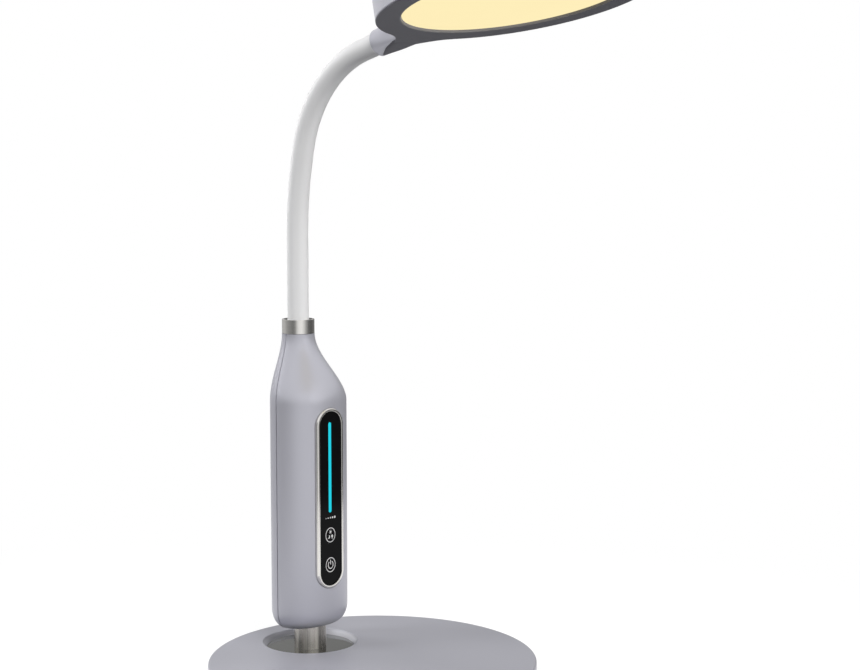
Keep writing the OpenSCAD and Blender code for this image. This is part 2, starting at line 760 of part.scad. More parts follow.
module post_tube() color(metal_colour) at_post() difference() {
    union() {
        translate([0, 0, nut_z0 - pin_reach]) cylinder(d = stem_d, h = disc_top - nut_z0 + pin_reach + bite);
        translate([0, 0, disc_top]) cylinder(d = post_d, h = col_z0 + post_reach - disc_top);
    }
    translate([0, 0, nut_z0 - 1]) cylinder(d = post_bore_d, h = col_z0 + col_h);
    translate([0, 0, grip_z - grip_rib_t / 2 - fit_gap]) difference() {
        cylinder(d = post_d + 1, h = grip_rib_t + 2 * fit_gap);
        translate([0, 0, -cut]) cylinder(r = grip_r, h = grip_rib_t + 2 * fit_gap + 2 * cut);
    }
}

module stop_washer() color(steel_colour) at_post() translate([0, 0, washer_z0]) difference() {
    union() {
        cylinder(r = washer_r, h = washer_t);
        rotate([0, 0, -90 - lug_half_deg]) rotate_extrude(angle = 2 * lug_half_deg)
            translate([washer_r - 1, 0]) square([lug_r - washer_r + 1, washer_t]);
    }
    translate([0, 0, -cut]) cylinder(d = stem_d + fit_gap, h = washer_t + 2 * cut);
}

module post_nut() color(steel_colour) at_post() translate([0, 0, nut_z0]) difference() {
    cylinder(r = nut_corner_r, h = post_nut_t, $fn = 6);
    translate([0, 0, -cut]) cylinder(d = stem_d + fit_gap, h = post_nut_t + 2 * cut);
}

// Column

module body_front_shell() color(shell_colour) difference() {
    union() {
        half_shell(-1);
        col_bosses(-1, col_boss_r);
        col_ribs(-1);
    }
    on_panel() translate([0, 0, -board_depth])
        linear_extrude(board_depth + col_d) stadium(opening_w, opening_h);
    at_col_screws() translate([0, 0, -col_d / 4]) cylinder(d = screw_d + 2 * fit_gap, h = col_d / 2);
}

module body_rear_shell() color(shell_colour) difference() {
    union() {
        half_shell(1);
        col_bosses(1, well_boss_r);
        col_ribs(1);
    }
    at_col_screws() {
        cylinder(d = screw_d + 4 * fit_gap, h = col_d);
        translate([0, 0, screw_seat]) cylinder(r = head_well_r, h = col_d);
    }
}

module body_screws() color(steel_colour)
    at_col_screws() translate([0, 0, screw_seat]) rotate([180, 0, 0]) screw(screw_seat + col_d / 4 - 1);

// Touch panel

module bezel_section() {
    outer = bezel_w / 2;
    round_r = bezel_rim / 2;
    translate([outer - bezel_rim, -board_depth]) square([bezel_rim, board_depth + bezel_proud - round_r]);
    translate([outer - round_r, bezel_proud - round_r]) circle(r = round_r);
    translate([outer - bezel_rim, -board_depth])
        square([flange_w / 2 - outer + bezel_rim, bezel_flange_t]);
}

module panel_bezel() color(metal_colour) on_panel() stadium_ring(bezel_w, bezel_h) bezel_section();

module touch_panel() color("#101012") on_panel() difference() {
    translate([0, 0, -glass_t]) linear_extrude(glass_t) stadium(glass_w, glass_h);
    translate([0, slider_y, -glass_t - cut]) linear_extrude(glass_t + 2 * cut)
        stadium(slider_w + 2 * fit_gap, slider_h + 2 * fit_gap);
}

module slider_light_guide() color("#18d3e6") on_panel() translate([0, slider_y, 0]) {
    guide_foot = board_depth - slider_led_h - fit_gap;
    translate([0, 0, -guide_foot]) linear_extrude(guide_foot) stadium(slider_w, slider_h);
    translate([0, 0, -guide_foot]) linear_extrude(guide_foot - glass_t - fit_gap)
        stadium(slider_w + 2 * guide_foot_w, slider_h + 2 * guide_foot_w);
}

module slider_leds() color("#f4f0d8") on_panel() for (i = [0:slider_led_count - 1]) {
    led_y = slider_y + slider_h * ((i + 0.5) / slider_led_count - 0.5);
    translate([0, led_y, -board_depth + slider_led_h / 2])
        cube([slider_led_w, slider_led_len, slider_led_h], center = true);
}

module control_board() color(board_colour) on_panel()
    translate([0, 0, -board_depth - board_t]) linear_extrude(board_t) stadium(flange_w, flange_h);

module touch_springs() color(metal_colour) on_panel()
    for (z = [mode_key_z, power_key_z]) translate([0, z - bezel_h / 2, -board_depth]) difference() {
        cylinder(d = spring_d, h = board_depth - glass_t);
        translate([0, 0, -cut]) cylinder(d = spring_d - 2 * spring_wall, h = board_depth);
    }

// Wires from the socket through the hollow post to the control board
module power_wires() color("#262628") {
    jack_back = jack_face_y - jack_len - wire_clear;
    bend = 3.2;
    low = nut_z0 - pin_reach - wire_room - wire_d / 2;
    board_end_z = col_z0 + post_reach + 5 * bend;
    cable([[jack_back, jack_z],
           [jack_back - bend / 4, jack_z],
           [jack_back - bend / 2, jack_z - bend / 8],
           [jack_back - bend, jack_z - bend],
           [jack_back - 2 * bend, (jack_z + low) / 2 - bend / 2],
           [jack_back - 3.4 * bend, low + bend / 6],
           [post_y + 1.6 * bend, low],
           [post_y + bend / 2, low + bend / 3],
           [post_y, low + 1.4 * bend],
           [post_y, disc_top],
           [post_y, col_z0],
           [post_y, col_z0 + post_reach],
           [post_y - bend / 2, col_z0 + post_reach + 2 * bend],
           [(post_y + board_back_y) / 2, col_z0 + post_reach + 4 * bend],
           [board_back_y + bend / 2, board_end_z],
           [board_back_y + fit_gap, board_end_z]], wire_d);
}

// Gooseneck

module neck_collar() color(metal_colour) translate([0, neck_y, 0]) difference() {
    union() {
        translate([0, 0, col_z1 + fit_gap]) cylinder(d = collar_d, h = collar_h - fit_gap);
        translate([0, 0, col_z1 - spigot_len]) cylinder(r = spigot_r, h = spigot_len + bite);
    }
    translate([0, 0, col_z1 - spigot_len - cut])
        cylinder(r = core_r + fit_gap, h = collar_h + spigot_len + 2 * cut);
    translate([0, 0, collar_top - sleeve_seat]) cylinder(r = sleeve_r + sleeve_gap, h = sleeve_seat + cut);
    translate([0, 0, collar_top - collar_mouth_depth])
        cylinder(d = collar_mouth_d, h = collar_mouth_depth + cut);
    translate([0, 0, throat_rib_z - fit_gap]) difference() {
        cylinder(r = throat_d, h = throat_rib_t + 2 * fit_gap);
        translate([0, 0, -cut]) cylinder(r = throat_groove_r, h = throat_rib_t + 1);
    }
}

module ball_end(length) {
    translate([0, 0, length]) sphere(d = ball_d);
    translate([0, 0, length - ball_d / 2]) cylinder(r = ball_d / 2 - ball_neck_in, h = ball_d / 2);
}

// One core length: turns along its barrel and a ball at its top
module core_length(length, turns) {
    barrel = length - ball_drop;
    difference() {
        union() {
            cylinder(r = core_r, h = barrel);
            ball_end(length);
        }
        translate([0, 0, -length]) cylinder(d = core_bore_d, h = 3 * length);
        for (i = [1:1:turns])
            translate([0, 0, barrel * i / (turns + 1) - turn_groove_w / 2]) turn_groove();
    }
}

module turn_groove() difference() {
    cylinder(r = core_d, h = turn_groove_w);
    translate([0, 0, -cut]) cylinder(r = core_r - turn_groove_depth, h = turn_groove_w + 2 * cut);
}

module cup() {
    sphere(r = ball_d / 2 + ball_gap);
    translate([0, 0, -core_d]) cylinder(r = core_d, h = core_d + cup_rise);
}

module neck_root() color(steel_colour) {
    foot = collar_top - col_z1 + spigot_len + fit_gap + root_flange_t;
    translate([0, neck_y, collar_top - foot]) difference() {
        union() {
            cylinder(r = root_flange_r, h = root_flange_t);
            core_length(foot + first_joint, 0);
        }
        translate([0, 0, -cut]) cylinder(d = core_bore_d, h = 2 * root_flange_t);
    }
}

module neck_link(k) color(steel_colour) {
    p = joint_point(k - 1);
    translate([0, p[0], p[1]]) rotate([link_lean(k), 0, 0]) difference() {
        core_length(link_length(k), core_turns);
        cup();
    }
}

module neck_sleeve() color("#d9d9db") {
    bend_steps = 24;
    last = arc_end + neck_tail + socket_depth - fit_gap;
    hose(concat(
        [[neck_y, collar_top - sleeve_seat + fit_gap]],
        [for (i = [0:bend_steps]) neck_point(mix(neck_rise, arc_end, i / bend_steps))],
        [neck_point(last)]), sleeve_r, sleeve_bore_r);
}

module neck_wires() color("#262628") {
    start_z = col_z1 - spigot_len - 5 * root_flange_t;
    board_end_z = board_top_z - wire_land;
    reach = neck_y - board_back_y;
    climb = start_z - board_end_z;
    line_steps = 36;
    last = arc_end + neck_tail + neck_mouth_y - wire_clip_y;
    cable(concat(
        [[board_back_y + fit_gap, board_end_z],
         [board_back_y + 0.1 * reach, board_end_z],
         [board_back_y + 0.3 * reach, board_end_z + 0.1 * climb],
         [board_back_y + 0.6 * reach, board_end_z + 0.45 * climb],
         [board_back_y + 0.9 * reach, board_end_z + 0.8 * climb]],
        [for (z = [start_z, collar_top]) [neck_y, z]],
        [for (i = [1:line_steps]) neck_point(last * i / line_steps)]), wire_d);
}

// Head

// Outline of the neck seen from above: fillets that run off the disc, then a taper to the socket
module neck_outline(reach) {
    difference() {
        translate([-web_centre_x, 0]) square([2 * web_centre_x, min(reach, web_centre_y)]);
        for (s = [-1, 1]) translate([s * web_centre_x, web_centre_y]) circle(r = neck_fillet_r);
    }
    taper_y = min(reach, neck_mouth_y - socket_depth);
    taper_w = reach < neck_mouth_y ? neck_half_w : socket_d / 2;
    if (taper_y > web_centre_y)
        polygon([[-neck_half_w, web_centre_y - bite], [neck_half_w, web_centre_y - bite],
                 [taper_w, taper_y], [-taper_w, taper_y]]);
}

// Height of the parting surface of housing and cover under the neck, from z at the end of the flat tail
function parting_z(y, z) = z - (y - tail_end_y) * tan(neck_slope);

// A shape of the middle plane, as [y, z], pulled to both sides
module across(w) {
    rotate([90, 0, 90]) linear_extrude(w, center = true) children();
}

module head_neck() {
    far_y = neck_mouth_y + head_wall;
    difference() {
        union() {
            along_neck() cylinder(d = socket_d, h = neck_len + 2 * head_wall);
            translate([0, 0, -neck_web_h]) linear_extrude(2 * neck_web_h) difference() {
                neck_outline(neck_mouth_y);
                circle(r = head_r - head_wall / 2);
            }
        }
        across(head_d) polygon([
            [0, housing_z0], [tail_end_y, housing_z0], [far_y, parting_z(far_y, housing_z0)],
            [far_y, -head_t], [0, -head_t]]);
    }
}

// Tongue of the bottom cover along the sloped underside of the neck
module cover_tongue() {
    root_y = tail_end_y - bite;
    tip_y = neck_mouth_y - tongue_back;
    tip_z = parting_z(tip_y, cover_lip_t);
    intersection() {
        across(head_d) polygon([
            [root_y, 0], [tail_end_y, 0], [tip_y, tip_z - tongue_tip_t],
            [tip_y, tip_z], [tail_end_y, cover_lip_t], [root_y, cover_lip_t]]);
        translate([0, 0, -head_t]) linear_extrude(2 * head_t) polygon([
            [-tail_half_w, root_y], [tail_half_w, root_y], [tongue_tip_w, tip_y], [-tongue_tip_w, tip_y]]);
    }
}

module head_housing() color(shell_colour) in_head() difference() {
    union() {
        difference() {
            union() {
                translate([0, 0, housing_z0])
                    rotate_extrude() round_top(head_r, head_t - housing_z0, head_edge_r);
                head_neck();
            }
            translate([0, 0, housing_z0 - cut])
                cylinder(r = head_r - head_wall, h = head_t - head_wall - housing_z0 + cut);
        }
        for (i = [0:clamp_post_count - 1]) rotate([0, 0, 360 / clamp_post_count * i])
            translate([diffuser_r - clamp_post_d / 2, 0, ledge_z + diffuser_t + fit_gap])
                cylinder(d = clamp_post_d, h = head_t - head_wall - ledge_z - diffuser_t - fit_gap + bite);
        at_led_screws() translate([0, 0, led_board_z + led_board_t])
            cylinder(d = led_post_d, h = led_post_h + bite);
    }
    at_led_screws() translate([0, 0, led_board_z]) cylinder(d = screw_d + 2 * fit_gap, h = led_post_h + 2);
    along_neck() translate([0, 0, -cut]) cylinder(r = sleeve_r + sleeve_gap, h = socket_depth + cut);
    along_neck() cylinder(r = core_r + fit_gap, h = socket_depth + ferrule_len + fit_gap);
    along_neck() cylinder(r = wire_way_r, h = neck_len + 2 * head_wall);
}

module at_led_screws() {
    for (i = [0:led_screw_count - 1])
        rotate([0, 0, 360 / led_screw_count * (i + 0.5)]) translate([led_screw_r, 0, 0]) children();
}

module head_bottom_cover() color(under_colour) in_head() {
    land_r = head_r - cover_land;
    rotate_extrude() polygon([
        [light_r, cover_rise], [light_r, ledge_z],
        [diffuser_r + fit_gap, ledge_z], [diffuser_r + fit_gap, cover_plate_z],
        [cover_rim_r - cover_rim_t, cover_plate_z], [cover_rim_r - cover_rim_t, cover_rim_z],
        [cover_rim_r, cover_rim_z], [cover_rim_r, cover_lip_t],
        [head_r, cover_lip_t], [head_r, 0], [land_r, 0]]);
    linear_extrude(cover_lip_t) difference() {
        neck_outline(tail_end_y);
        circle(r = head_r - cover_land / 2);
    }
    cover_tongue();
}

module diffuser() color("#ffeebb") in_head()
    translate([0, 0, ledge_z]) cylinder(r = diffuser_r, h = diffuser_t);

module led_board() color("#e9e9e6") in_head() difference() {
    translate([0, 0, led_board_z]) cylinder(d = led_board_d, h = led_board_t);
    at_led_screws() translate([0, 0, led_board_z - cut])
        cylinder(d = screw_d + 4 * fit_gap, h = led_board_t + 2 * cut);
}

module led_chips() color("#f5d76b") in_head()
    for (ring = [1:led_ring_count], i = [0:leds_per_ring * ring - 1])
        rotate([0, 0, 360 / leds_per_ring / ring * (i + 0.5)])
            translate([led_ring_first + led_ring_step * (ring - 1), 0, led_board_z - led_h / 2])
                cube([led_w, led_len, led_h], center = true);

module led_connector() color("#f2f2ee") in_head()
    translate([-clip_w / 2, wire_clip_y - clip_len, ledge_z + diffuser_t + clip_gap])
        cube([clip_w, clip_len - fit_gap, led_board_z - ledge_z - diffuser_t - clip_gap]);

module led_screws() color(steel_colour) in_head() at_led_screws()
    translate([0, 0, led_board_z]) screw(led_post_h + led_board_t);

module upper_ferrule() color(steel_colour) {
    p = joint_point(joint_count - 1);
    reach = neck_tail + socket_depth + ferrule_len;
    translate([0, p[0], p[1]]) rotate([hook_end_deg, 0, 0]) difference() {
        cylinder(r = core_r, h = reach);
        cup();
        cylinder(d = core_bore_d, h = 3 * reach);
    }
}

base_cover();
base_floor();
base_pad();
ballast_plate();
base_screws();
power_jack();
jack_nut();
jack_pin();
swivel_bush();
stop_pins();
turntable_disc();
post_tube();
stop_washer();
post_nut();
power_wires();
body_front_shell();
body_rear_shell();
body_screws();
panel_bezel();
touch_panel();
slider_light_guide();
slider_leds();
control_board();
touch_springs();
neck_collar();
neck_root();
neck_sleeve();
neck_wires();
for (k = [1:joint_count - 1]) neck_link(k);
upper_ferrule();
head_housing();
head_bottom_cover();
diffuser();
led_board();
led_chips();
led_connector();
led_screws();
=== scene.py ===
"""Visible pieces, finishes and stage of a gooseneck LED desk lamp, built around its CAD frame."""
import json
import math

import bmesh
import bpy
from mathutils import Matrix, Vector


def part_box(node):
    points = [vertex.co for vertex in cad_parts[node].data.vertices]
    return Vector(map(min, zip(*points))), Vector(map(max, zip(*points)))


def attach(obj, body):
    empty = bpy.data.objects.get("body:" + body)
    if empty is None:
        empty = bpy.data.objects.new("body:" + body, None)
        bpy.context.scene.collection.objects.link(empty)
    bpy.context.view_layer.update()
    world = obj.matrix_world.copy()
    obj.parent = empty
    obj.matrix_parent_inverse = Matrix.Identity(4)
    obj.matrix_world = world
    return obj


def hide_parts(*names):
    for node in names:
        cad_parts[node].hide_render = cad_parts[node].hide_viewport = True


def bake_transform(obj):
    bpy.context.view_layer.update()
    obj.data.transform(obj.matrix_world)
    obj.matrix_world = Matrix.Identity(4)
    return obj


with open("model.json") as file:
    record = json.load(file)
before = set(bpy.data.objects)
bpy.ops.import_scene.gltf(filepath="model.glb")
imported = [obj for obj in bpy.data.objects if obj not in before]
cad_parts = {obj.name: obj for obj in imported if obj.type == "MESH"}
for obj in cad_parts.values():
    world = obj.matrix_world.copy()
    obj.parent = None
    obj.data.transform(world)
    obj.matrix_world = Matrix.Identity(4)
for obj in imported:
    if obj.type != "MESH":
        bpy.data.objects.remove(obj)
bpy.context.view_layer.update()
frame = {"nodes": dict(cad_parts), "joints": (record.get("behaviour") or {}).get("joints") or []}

bl_info = {
    "name": "LED Desk Lamp",
    "version": (1, 0, 0),
    "blender": (4, 5, 0),
    "location": "View3D > Sidebar > Desk Lamp",
    "description": "Builds the visible pieces of a gooseneck LED desk lamp around its CAD frame",
    "category": "Add Mesh",
}

MM = 0.001
TURN = 2 * math.pi
LOW = {name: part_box(name)[0] for name in frame["nodes"]}
HIGH = {name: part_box(name)[1] for name in frame["nodes"]}
POST_Y = (LOW["post_tube"].y + HIGH["post_tube"].y) / 2
PANEL_Y = LOW["touch_panel"].y
PANEL_Z = (LOW["touch_panel"].z + HIGH["touch_panel"].z) / 2
DIFFUSER_MIDDLE = (LOW["diffuser"] + HIGH["diffuser"]) / 2
DIFFUSER_DEPTH = 2 * MM
DIFFUSER_RIM = 4 * MM
NECK_JOINTS = [joint for joint in frame["joints"] if joint["name"] != "column_swivel"]
# Gaps between pieces that fit into each other, around the soft sleeve, and between the head's housing
# and its cover
FIT = 0.1 * MM
SLEEVE_FIT = 0.25 * MM
PARTING = 0.05 * MM
# Steps around a ring with half-round ends: not a multiple of four, so that no point lies midway
# between the ends
STADIUM_STEPS = 62
# Height of the lower column screws above the column's foot, their distance from the middle, and how
# far their heads sit behind the post's axis
SCREW_RISE = 15.5 * MM
SCREW_SIDE = 13.4 * MM
SCREW_SEAT = 8 * MM
# Radius of the power socket's body in the base's wall, and of the room for the neck's core at both its ends
JACK_NOSE = 4 * MM
CORE = 4.5 * MM

# Camera at the photograph's view
EYE = (-0.64838, -0.67313, 0.29432)
EYE_TURN = (math.radians(90 - 5.848), 0, math.radians(-45.853))
LENS = 72.82
SENSOR = 36
# Direction of the camera from the lamp. Lamps and cards go by their bearing from it, rightwards in
# the picture
TO_CAMERA = math.radians(180 + 44.147)
# Point at which the lamps aim, and their name, bearing, height angle, distance, size and power
AIM = Vector((0, 0, 0.18))
LAMPS = (
    ("rear_left", -125, 20, 1.6, 0.9, 16.0),
    ("left", -85, 25, 0.8, 0.3, 3.4),
    ("front", 20, 35, 1.6, 0.7, 17.0),
    ("right", 55, 18, 0.75, 0.3, 3.2),
    ("rear_right", 125, 50, 1.6, 0.5, 4.0),
)
# Light from all round
WHITE = (1, 1, 1, 1)
AMBIENT = 0.03
AMBIENT_TINT = (0.97, 0.98, 1.0, 1)
# Floor: half its size, its tone and glow where it shows the lamp's shadow, the distances between which
# that fades to white, and its tone for the light that it throws back
FLOOR_HALF = 40
FLOOR_TONE = (0.45, 0.45, 0.45, 1)
FLOOR_GLOW = 0.6
FLOOR_FADE = (0.12, 0.45)
FLOOR_BOUNCE = (0.22, 0.22, 0.225, 1)
# Ring of cards: radius, foot, height, turn from the camera's bearing, heights between which it fades to
# white, and the bearing and tone of its stops
CARD_RADIUS = 0.5
CARD_FOOT = 0.002
CARD_HEIGHT = 2.5
CARD_TURN = math.radians(4)
CARD_FADE = (0.22, 0.40)
CARDS = ((-180, 0.38), (-158, 0.48), (-144, 0.56), (-110, 0.54), (-89, 0.38), (-70, 0.30), (-53, 0.25),
         (-38, 0.20), (-23, 0.29), (-16, 0.47), (-8, 0.70), (0, 0.88), (14, 1.0), (26, 1.0), (35, 0.88),
         (42, 0.76), (50, 0.59), (58, 0.42), (67, 0.30), (76, 0.17), (95, 0.12), (106, 0.11), (135, 0.17),
         (150, 0.22), (165, 0.30), (180, 0.38))


# Properties that a user would change


def length(label, about, value):
    return bpy.props.FloatProperty(name=label, description=about, default=value, min=0.0, unit="LENGTH",
                                   precision=5)


def angle(label, about, degrees):
    return bpy.props.FloatProperty(name=label, description=about, default=math.radians(degrees),
                                   unit="ROTATION")


def share(label, about, value):
    return bpy.props.FloatProperty(name=label, description=about, default=value, min=0.0, max=1.0,
                                   subtype="FACTOR")


def colour(label, about, value):
    return bpy.props.FloatVectorProperty(name=label, description=about, default=value, min=0.0, max=1.0,
                                         subtype="COLOR")


class LampBaseSizes(bpy.types.PropertyGroup):
    """Sizes of the base, its recess and the swivel."""

    radius: length("Radius", "Radius of the round base", HIGH["base_cover"].x)
    top: length("Top", "Height of the base's top above the table", HIGH["base_cover"].z)
    rim: length("Rim", "Height of the cover's rim above the table", LOW["base_cover"].z)
    wall: length("Wall", "Wall of the base cover", 2.4 * MM)
    edge: length("Edge rounding", "Rounding of the cover's top edge", 0.9 * MM)
    recess_radius: length("Recess radius", "Radius of the recess at the top of the base", 26.75 * MM)
    skirt: length("Skirt", "Wall around the turntable disc under the cover", 2.5 * MM)
    disc_radius: length("Disc radius", "Radius of the turntable disc", HIGH["turntable_disc"].x)
    disc_gap: length("Disc gap", "Gap around the turntable disc", 0.3 * MM)
    disc_top: length("Disc top", "Height of the disc's face above the table", HIGH["turntable_disc"].z)
    disc_under: length("Disc underside", "Height of the disc's underside above the table",
                       LOW["turntable_disc"].z)
    post_radius: length("Post radius", "Radius of the post", HIGH["post_tube"].x)
    stem_radius: length("Stem radius", "Radius of the post's stem in the bush", 8 * MM)
    post_bore: length("Post bore", "Radius of the wire way in the post", 6.5 * MM)
    jack_height: length("Socket height", "Height of the power socket above the table",
                        (LOW["power_jack"].z + HIGH["power_jack"].z) / 2)
    jack_flange: length("Socket flange", "Radius of the power socket's flange", HIGH["power_jack"].x)


class LampColumnSizes(bpy.types.PropertyGroup):
    """Sizes of the column's two shells."""

    half_width: length("Half width", "Half the width of the column", HIGH["body_front_shell"].x)
    half_depth: length("Half depth", "Half the depth of the column", POST_Y - PANEL_Y)
    foot: length("Foot", "Height of the column's underside above the table", LOW["body_front_shell"].z)
    top: length("Top", "Height of the column's top above the table", HIGH["body_front_shell"].z)
    shoulder: length("Shoulder", "Height of the shoulder that draws in to the neck", 38 * MM)
    round_height: length("Foot rounding", "Height of the rounding at the underside", 10.5 * MM)
    round_inset: length("Foot inset", "Inward reach of that rounding", 7 * MM)
    throat: length("Throat radius", "Radius of the column's top", 9.15 * MM)
    set_back: length("Set-back", "Distance of the neck behind the column's axis", 8.2 * MM)
    lead: share("Set-back lead", "Power by which the set-back runs ahead of the shoulder's narrowing", 0.88)
    wall: length("Wall", "Wall of the shells", 2.2 * MM)
    part_gap: length("Parting gap", "Gap between the shells along the parting line", 0.15 * MM)
    groove: share("Parting groove", "Depth of the parting line's groove, as a share of the half width", 0.024)
    groove_angle: angle("Groove angle", "Half the groove's width, as an angle around the column", 0.7)


class LampPanelSizes(bpy.types.PropertyGroup):
    """Sizes of the touch panel."""

    bezel_width: length("Bezel width", "Width of the bright bezel", 19.7 * MM)
    bezel_height: length("Bezel height", "Height of the bright bezel", 102.2 * MM)
    bezel_rim: length("Bezel rim", "Width of the bezel's rim", 1.75 * MM)
    bezel_proud: length("Bezel stand", "How far the bezel stands proud of the glass",
                        PANEL_Y - LOW["panel_bezel"].y)
    bezel_depth: length("Bezel depth", "Depth of the bezel behind the glass", HIGH["panel_bezel"].y - PANEL_Y)
    flange: length("Flange", "Thickness of the bezel's inner flange", 1.5 * MM)
    flange_radius: length("Flange radius", "Radius of the inner flange's ends", HIGH["panel_bezel"].x)
    glass_depth: length("Glass", "Thickness of the black glass", 1.5 * MM)
    slider_width: length("Slider width", "Width of the lit bar", 2.1 * MM)
    slider_height: length("Slider height", "Height of the lit bar", 50.9 * MM)
    slider_drop: length("Slider drop", "Distance from the bezel's top to the lit bar", 8.1 * MM)
    mode_key: length("Mode key", "Height of the mode key above the bezel's lower end", 30.4 * MM)
    power_key: length("Power key", "Height of the power key above the bezel's lower end", 13.4 * MM)
    mark_radius: length("Mark radius", "Radius of the rings around the keys' marks", 4.2 * MM)
    mark_line: length("Mark line", "Width of the marks' lines", 0.42 * MM)


class LampNeckSizes(bpy.types.PropertyGroup):
    """Route and section of the gooseneck."""

    collar_radius: length("Collar radius", "Radius of the metal collar", HIGH["neck_collar"].x)
    collar_top: length("Collar top", "Height of the collar's top above the table", HIGH["neck_collar"].z)
    collar_mouth: length("Collar mouth", "Radius of the collar's open mouth", 8.1 * MM)
    collar_mouth_depth: length("Collar mouth depth", "Depth of the collar's open mouth", 3 * MM)
    sleeve_radius: length("Sleeve radius", "Radius of the soft sleeve", 6 * MM)
    sleeve_wall: length("Sleeve wall", "Wall of the soft sleeve", 1.05 * MM)
    sleeve_seat: length("Sleeve seat", "Depth of the sleeve in the collar", 6.7 * MM)
    rise: length("Rise", "Straight rise above the collar", 46.8 * MM)
    sweep_radius: length("Sweep radius", "Radius of the first gentle sweep", 215 * MM)
    sweep: angle("Sweep angle", "Angle of the first gentle sweep", 13)
    straight: length("Straight", "Straight stretch between the sweep and the hook", 2 * MM)
    hook_radius: length("Hook radius", "Radius of the hook over to the head", 68 * MM)
    hook_end: angle("Hook end", "Lean of the neck at the head", 75)
    tail: length("Tail", "Straight end in front of the head's socket", 12.2 * MM)
    socket_depth: length("Socket depth", "Depth of the sleeve in the head's socket", 5.9 * MM)
    wire_reach: length("Wire reach", "Length of the wires inside the head, up to their connector", 42 * MM)


class LampHeadSizes(bpy.types.PropertyGroup):
    """Sizes of the disc head."""

    radius: length("Radius", "Radius of the disc head", HIGH["head_housing"].x)
    thickness: length("Thickness", "Thickness of the head", 15.5 * MM)
    edge: length("Edge rounding", "Rounding of the head's top edge", 4.5 * MM)
    wall: length("Wall", "Wall of the housing", 2.2 * MM)
    tilt: angle("Tilt", "Upward tilt of the head towards the front", 12)
    lip: length("Cover lip", "Thickness of the bottom cover's outer lip", 0.8 * MM)
    land: length("Cover land", "Width of the flat ring around the bottom cover's cone", 5 * MM)
    light_radius: length("Lit radius", "Radius of the lit opening", 57 * MM)
    cone_rise: length("Cone rise", "Rise of the bottom cover's cone", 0.35 * MM)
    chamfer: length("Chamfer", "Width of the chamfer around the lit opening", 0.6 * MM)
    ledge: length("Ledge", "Height of the diffuser's lower face in the head", 1.6 * MM)
    neck_length: length("Neck length", "Length of the head's neck behind the disc", 27.5 * MM)
    neck_axis: length("Neck axis", "Height of the neck's axis above the underside, at its mouth", 5.2 * MM)
    droop: angle("Neck droop", "Droop of the neck's axis away from the disc", 3)
    socket_radius: length("Socket radius", "Radius of the neck's round socket", 7.3 * MM)
    fillet: length("Fillet", "Radius of the fillets between neck and disc", 20 * MM)
    neck_half_width: length("Neck half width", "Half width of the neck where the fillets end", 9 * MM)
    tail: length("Cover tail", "Length of the cover's flat tail under the neck", 9 * MM)
    slope: angle("Tongue slope", "Slope of the cover's tongue, which runs on to the mouth", 9.5)


class LampFinishes(bpy.types.PropertyGroup):
    """Colours of the finishes, in linear light."""

    silver: colour("Silver lacquer", "Housings", (0.452, 0.452, 0.501))
    # Painted shade: the silver plastic under the head is darkened to stand for the shade that falls there
    underside_painted_shade: colour("Underside", "Ring under the head", (0.118, 0.117, 0.134))
    # Painted light: a paler tone on the chamfer round the lit opening, standing for the light that falls on
    # it from the front and the diffuser
    chamfer: colour("Chamfer", "Chamfer around the light under the head", (0.23, 0.228, 0.245))
    chrome: colour("Chrome", "Bezel and collar", (0.74, 0.725, 0.70))
    post: colour("Post", "Polished tube", (0.68, 0.65, 0.595))
    disc: colour("Turntable disc", "Dark polished plate", (0.27, 0.273, 0.26))
    # Painted light: the recess bevel is much paler than the silver, so that it shows lit also where the lamps
    # leave it in shade
    rim: colour("Recess rim", "Bright bevel around the sunk disc", (0.70, 0.70, 0.745))
    glass: colour("Touch panel", "Black glass", (0.004, 0.004, 0.0043))
    marks: colour("Marks", "Symbols on the glass", (0.62, 0.62, 0.62))
    slider: colour("Slider", "Lit bar", (0.0091, 0.651, 0.791))
    lamp: colour("Lamp light", "Lit diffuser", (1.0, 0.855, 0.491))
    sleeve: colour("Sleeve", "Soft sleeve of the gooseneck", (0.69, 0.69, 0.695))


# Mesh helpers


def only(kind, geometry):
    return [part for part in geometry if isinstance(part, kind)]


def loop_edges(verts):
    """Edges among the vertices, each once and always in the same order."""
    inside = set(verts)
    edges = [edge for vert in verts for edge in vert.link_edges if edge.other_vert(vert) in inside]
    return list(dict.fromkeys(edges))


def draw_ring(mesh, radius, segments, place=Matrix.Identity(4)):
    """A ring of edges about the place's own Z axis."""
    verts = bmesh.ops.create_circle(mesh, radius=radius, segments=segments, matrix=place)["verts"]
    return loop_edges(verts)


def stretch(mesh, verts, run):
    """Draw the two halves of a ring apart along Y."""
    for side in (-1, 1):
        half = [vert for vert in verts if vert.co.y * side > 0]
        bmesh.ops.translate(mesh, verts=half, vec=(0, side * run / 2, 0))


def draw_stadium(mesh, radius, run, height, middle=0.0):
    """A ring with half-round ends, stretched along Y by run."""
    verts = bmesh.ops.create_circle(mesh, radius=radius, segments=STADIUM_STEPS)["verts"]
    stretch(mesh, verts, run)
    bmesh.ops.translate(mesh, verts=verts, vec=(0, middle, height))
    return loop_edges(verts)


def pull(mesh, edges, change):
    """Extrude open edges and carry the new ones by the matrix."""
    made = bmesh.ops.extrude_edge_only(mesh, edges=edges)["geom"]
    verts = only(bmesh.types.BMVert, made)
    bmesh.ops.transform(mesh, matrix=change, verts=verts)
    return loop_edges(verts)


def pull_rings(mesh, ring, middle, start, steps):
    """Extrude a ring about an upright axis from its start through steps of (radius, height)."""
    about = Matrix.Translation(middle)
    radius, height = start
    for r, z in steps:
        size = Matrix.Diagonal((r / radius, r / radius, 1, 1))
        ring = pull(mesh, ring, Matrix.Translation((0, 0, z - height)) @ about @ size @ about.inverted())
        radius, height = r, z
    return ring


def pull_along(mesh, ring, places):
    """Extrude a ring from the first place through the others."""
    for before, place in zip(places, places[1:]):
        ring = pull(mesh, ring, place @ before.inverted())
    return ring


def bridge(mesh, *rings):
    for first, second in zip(rings, rings[1:]):
        bmesh.ops.bridge_loops(mesh, edges=first + second)


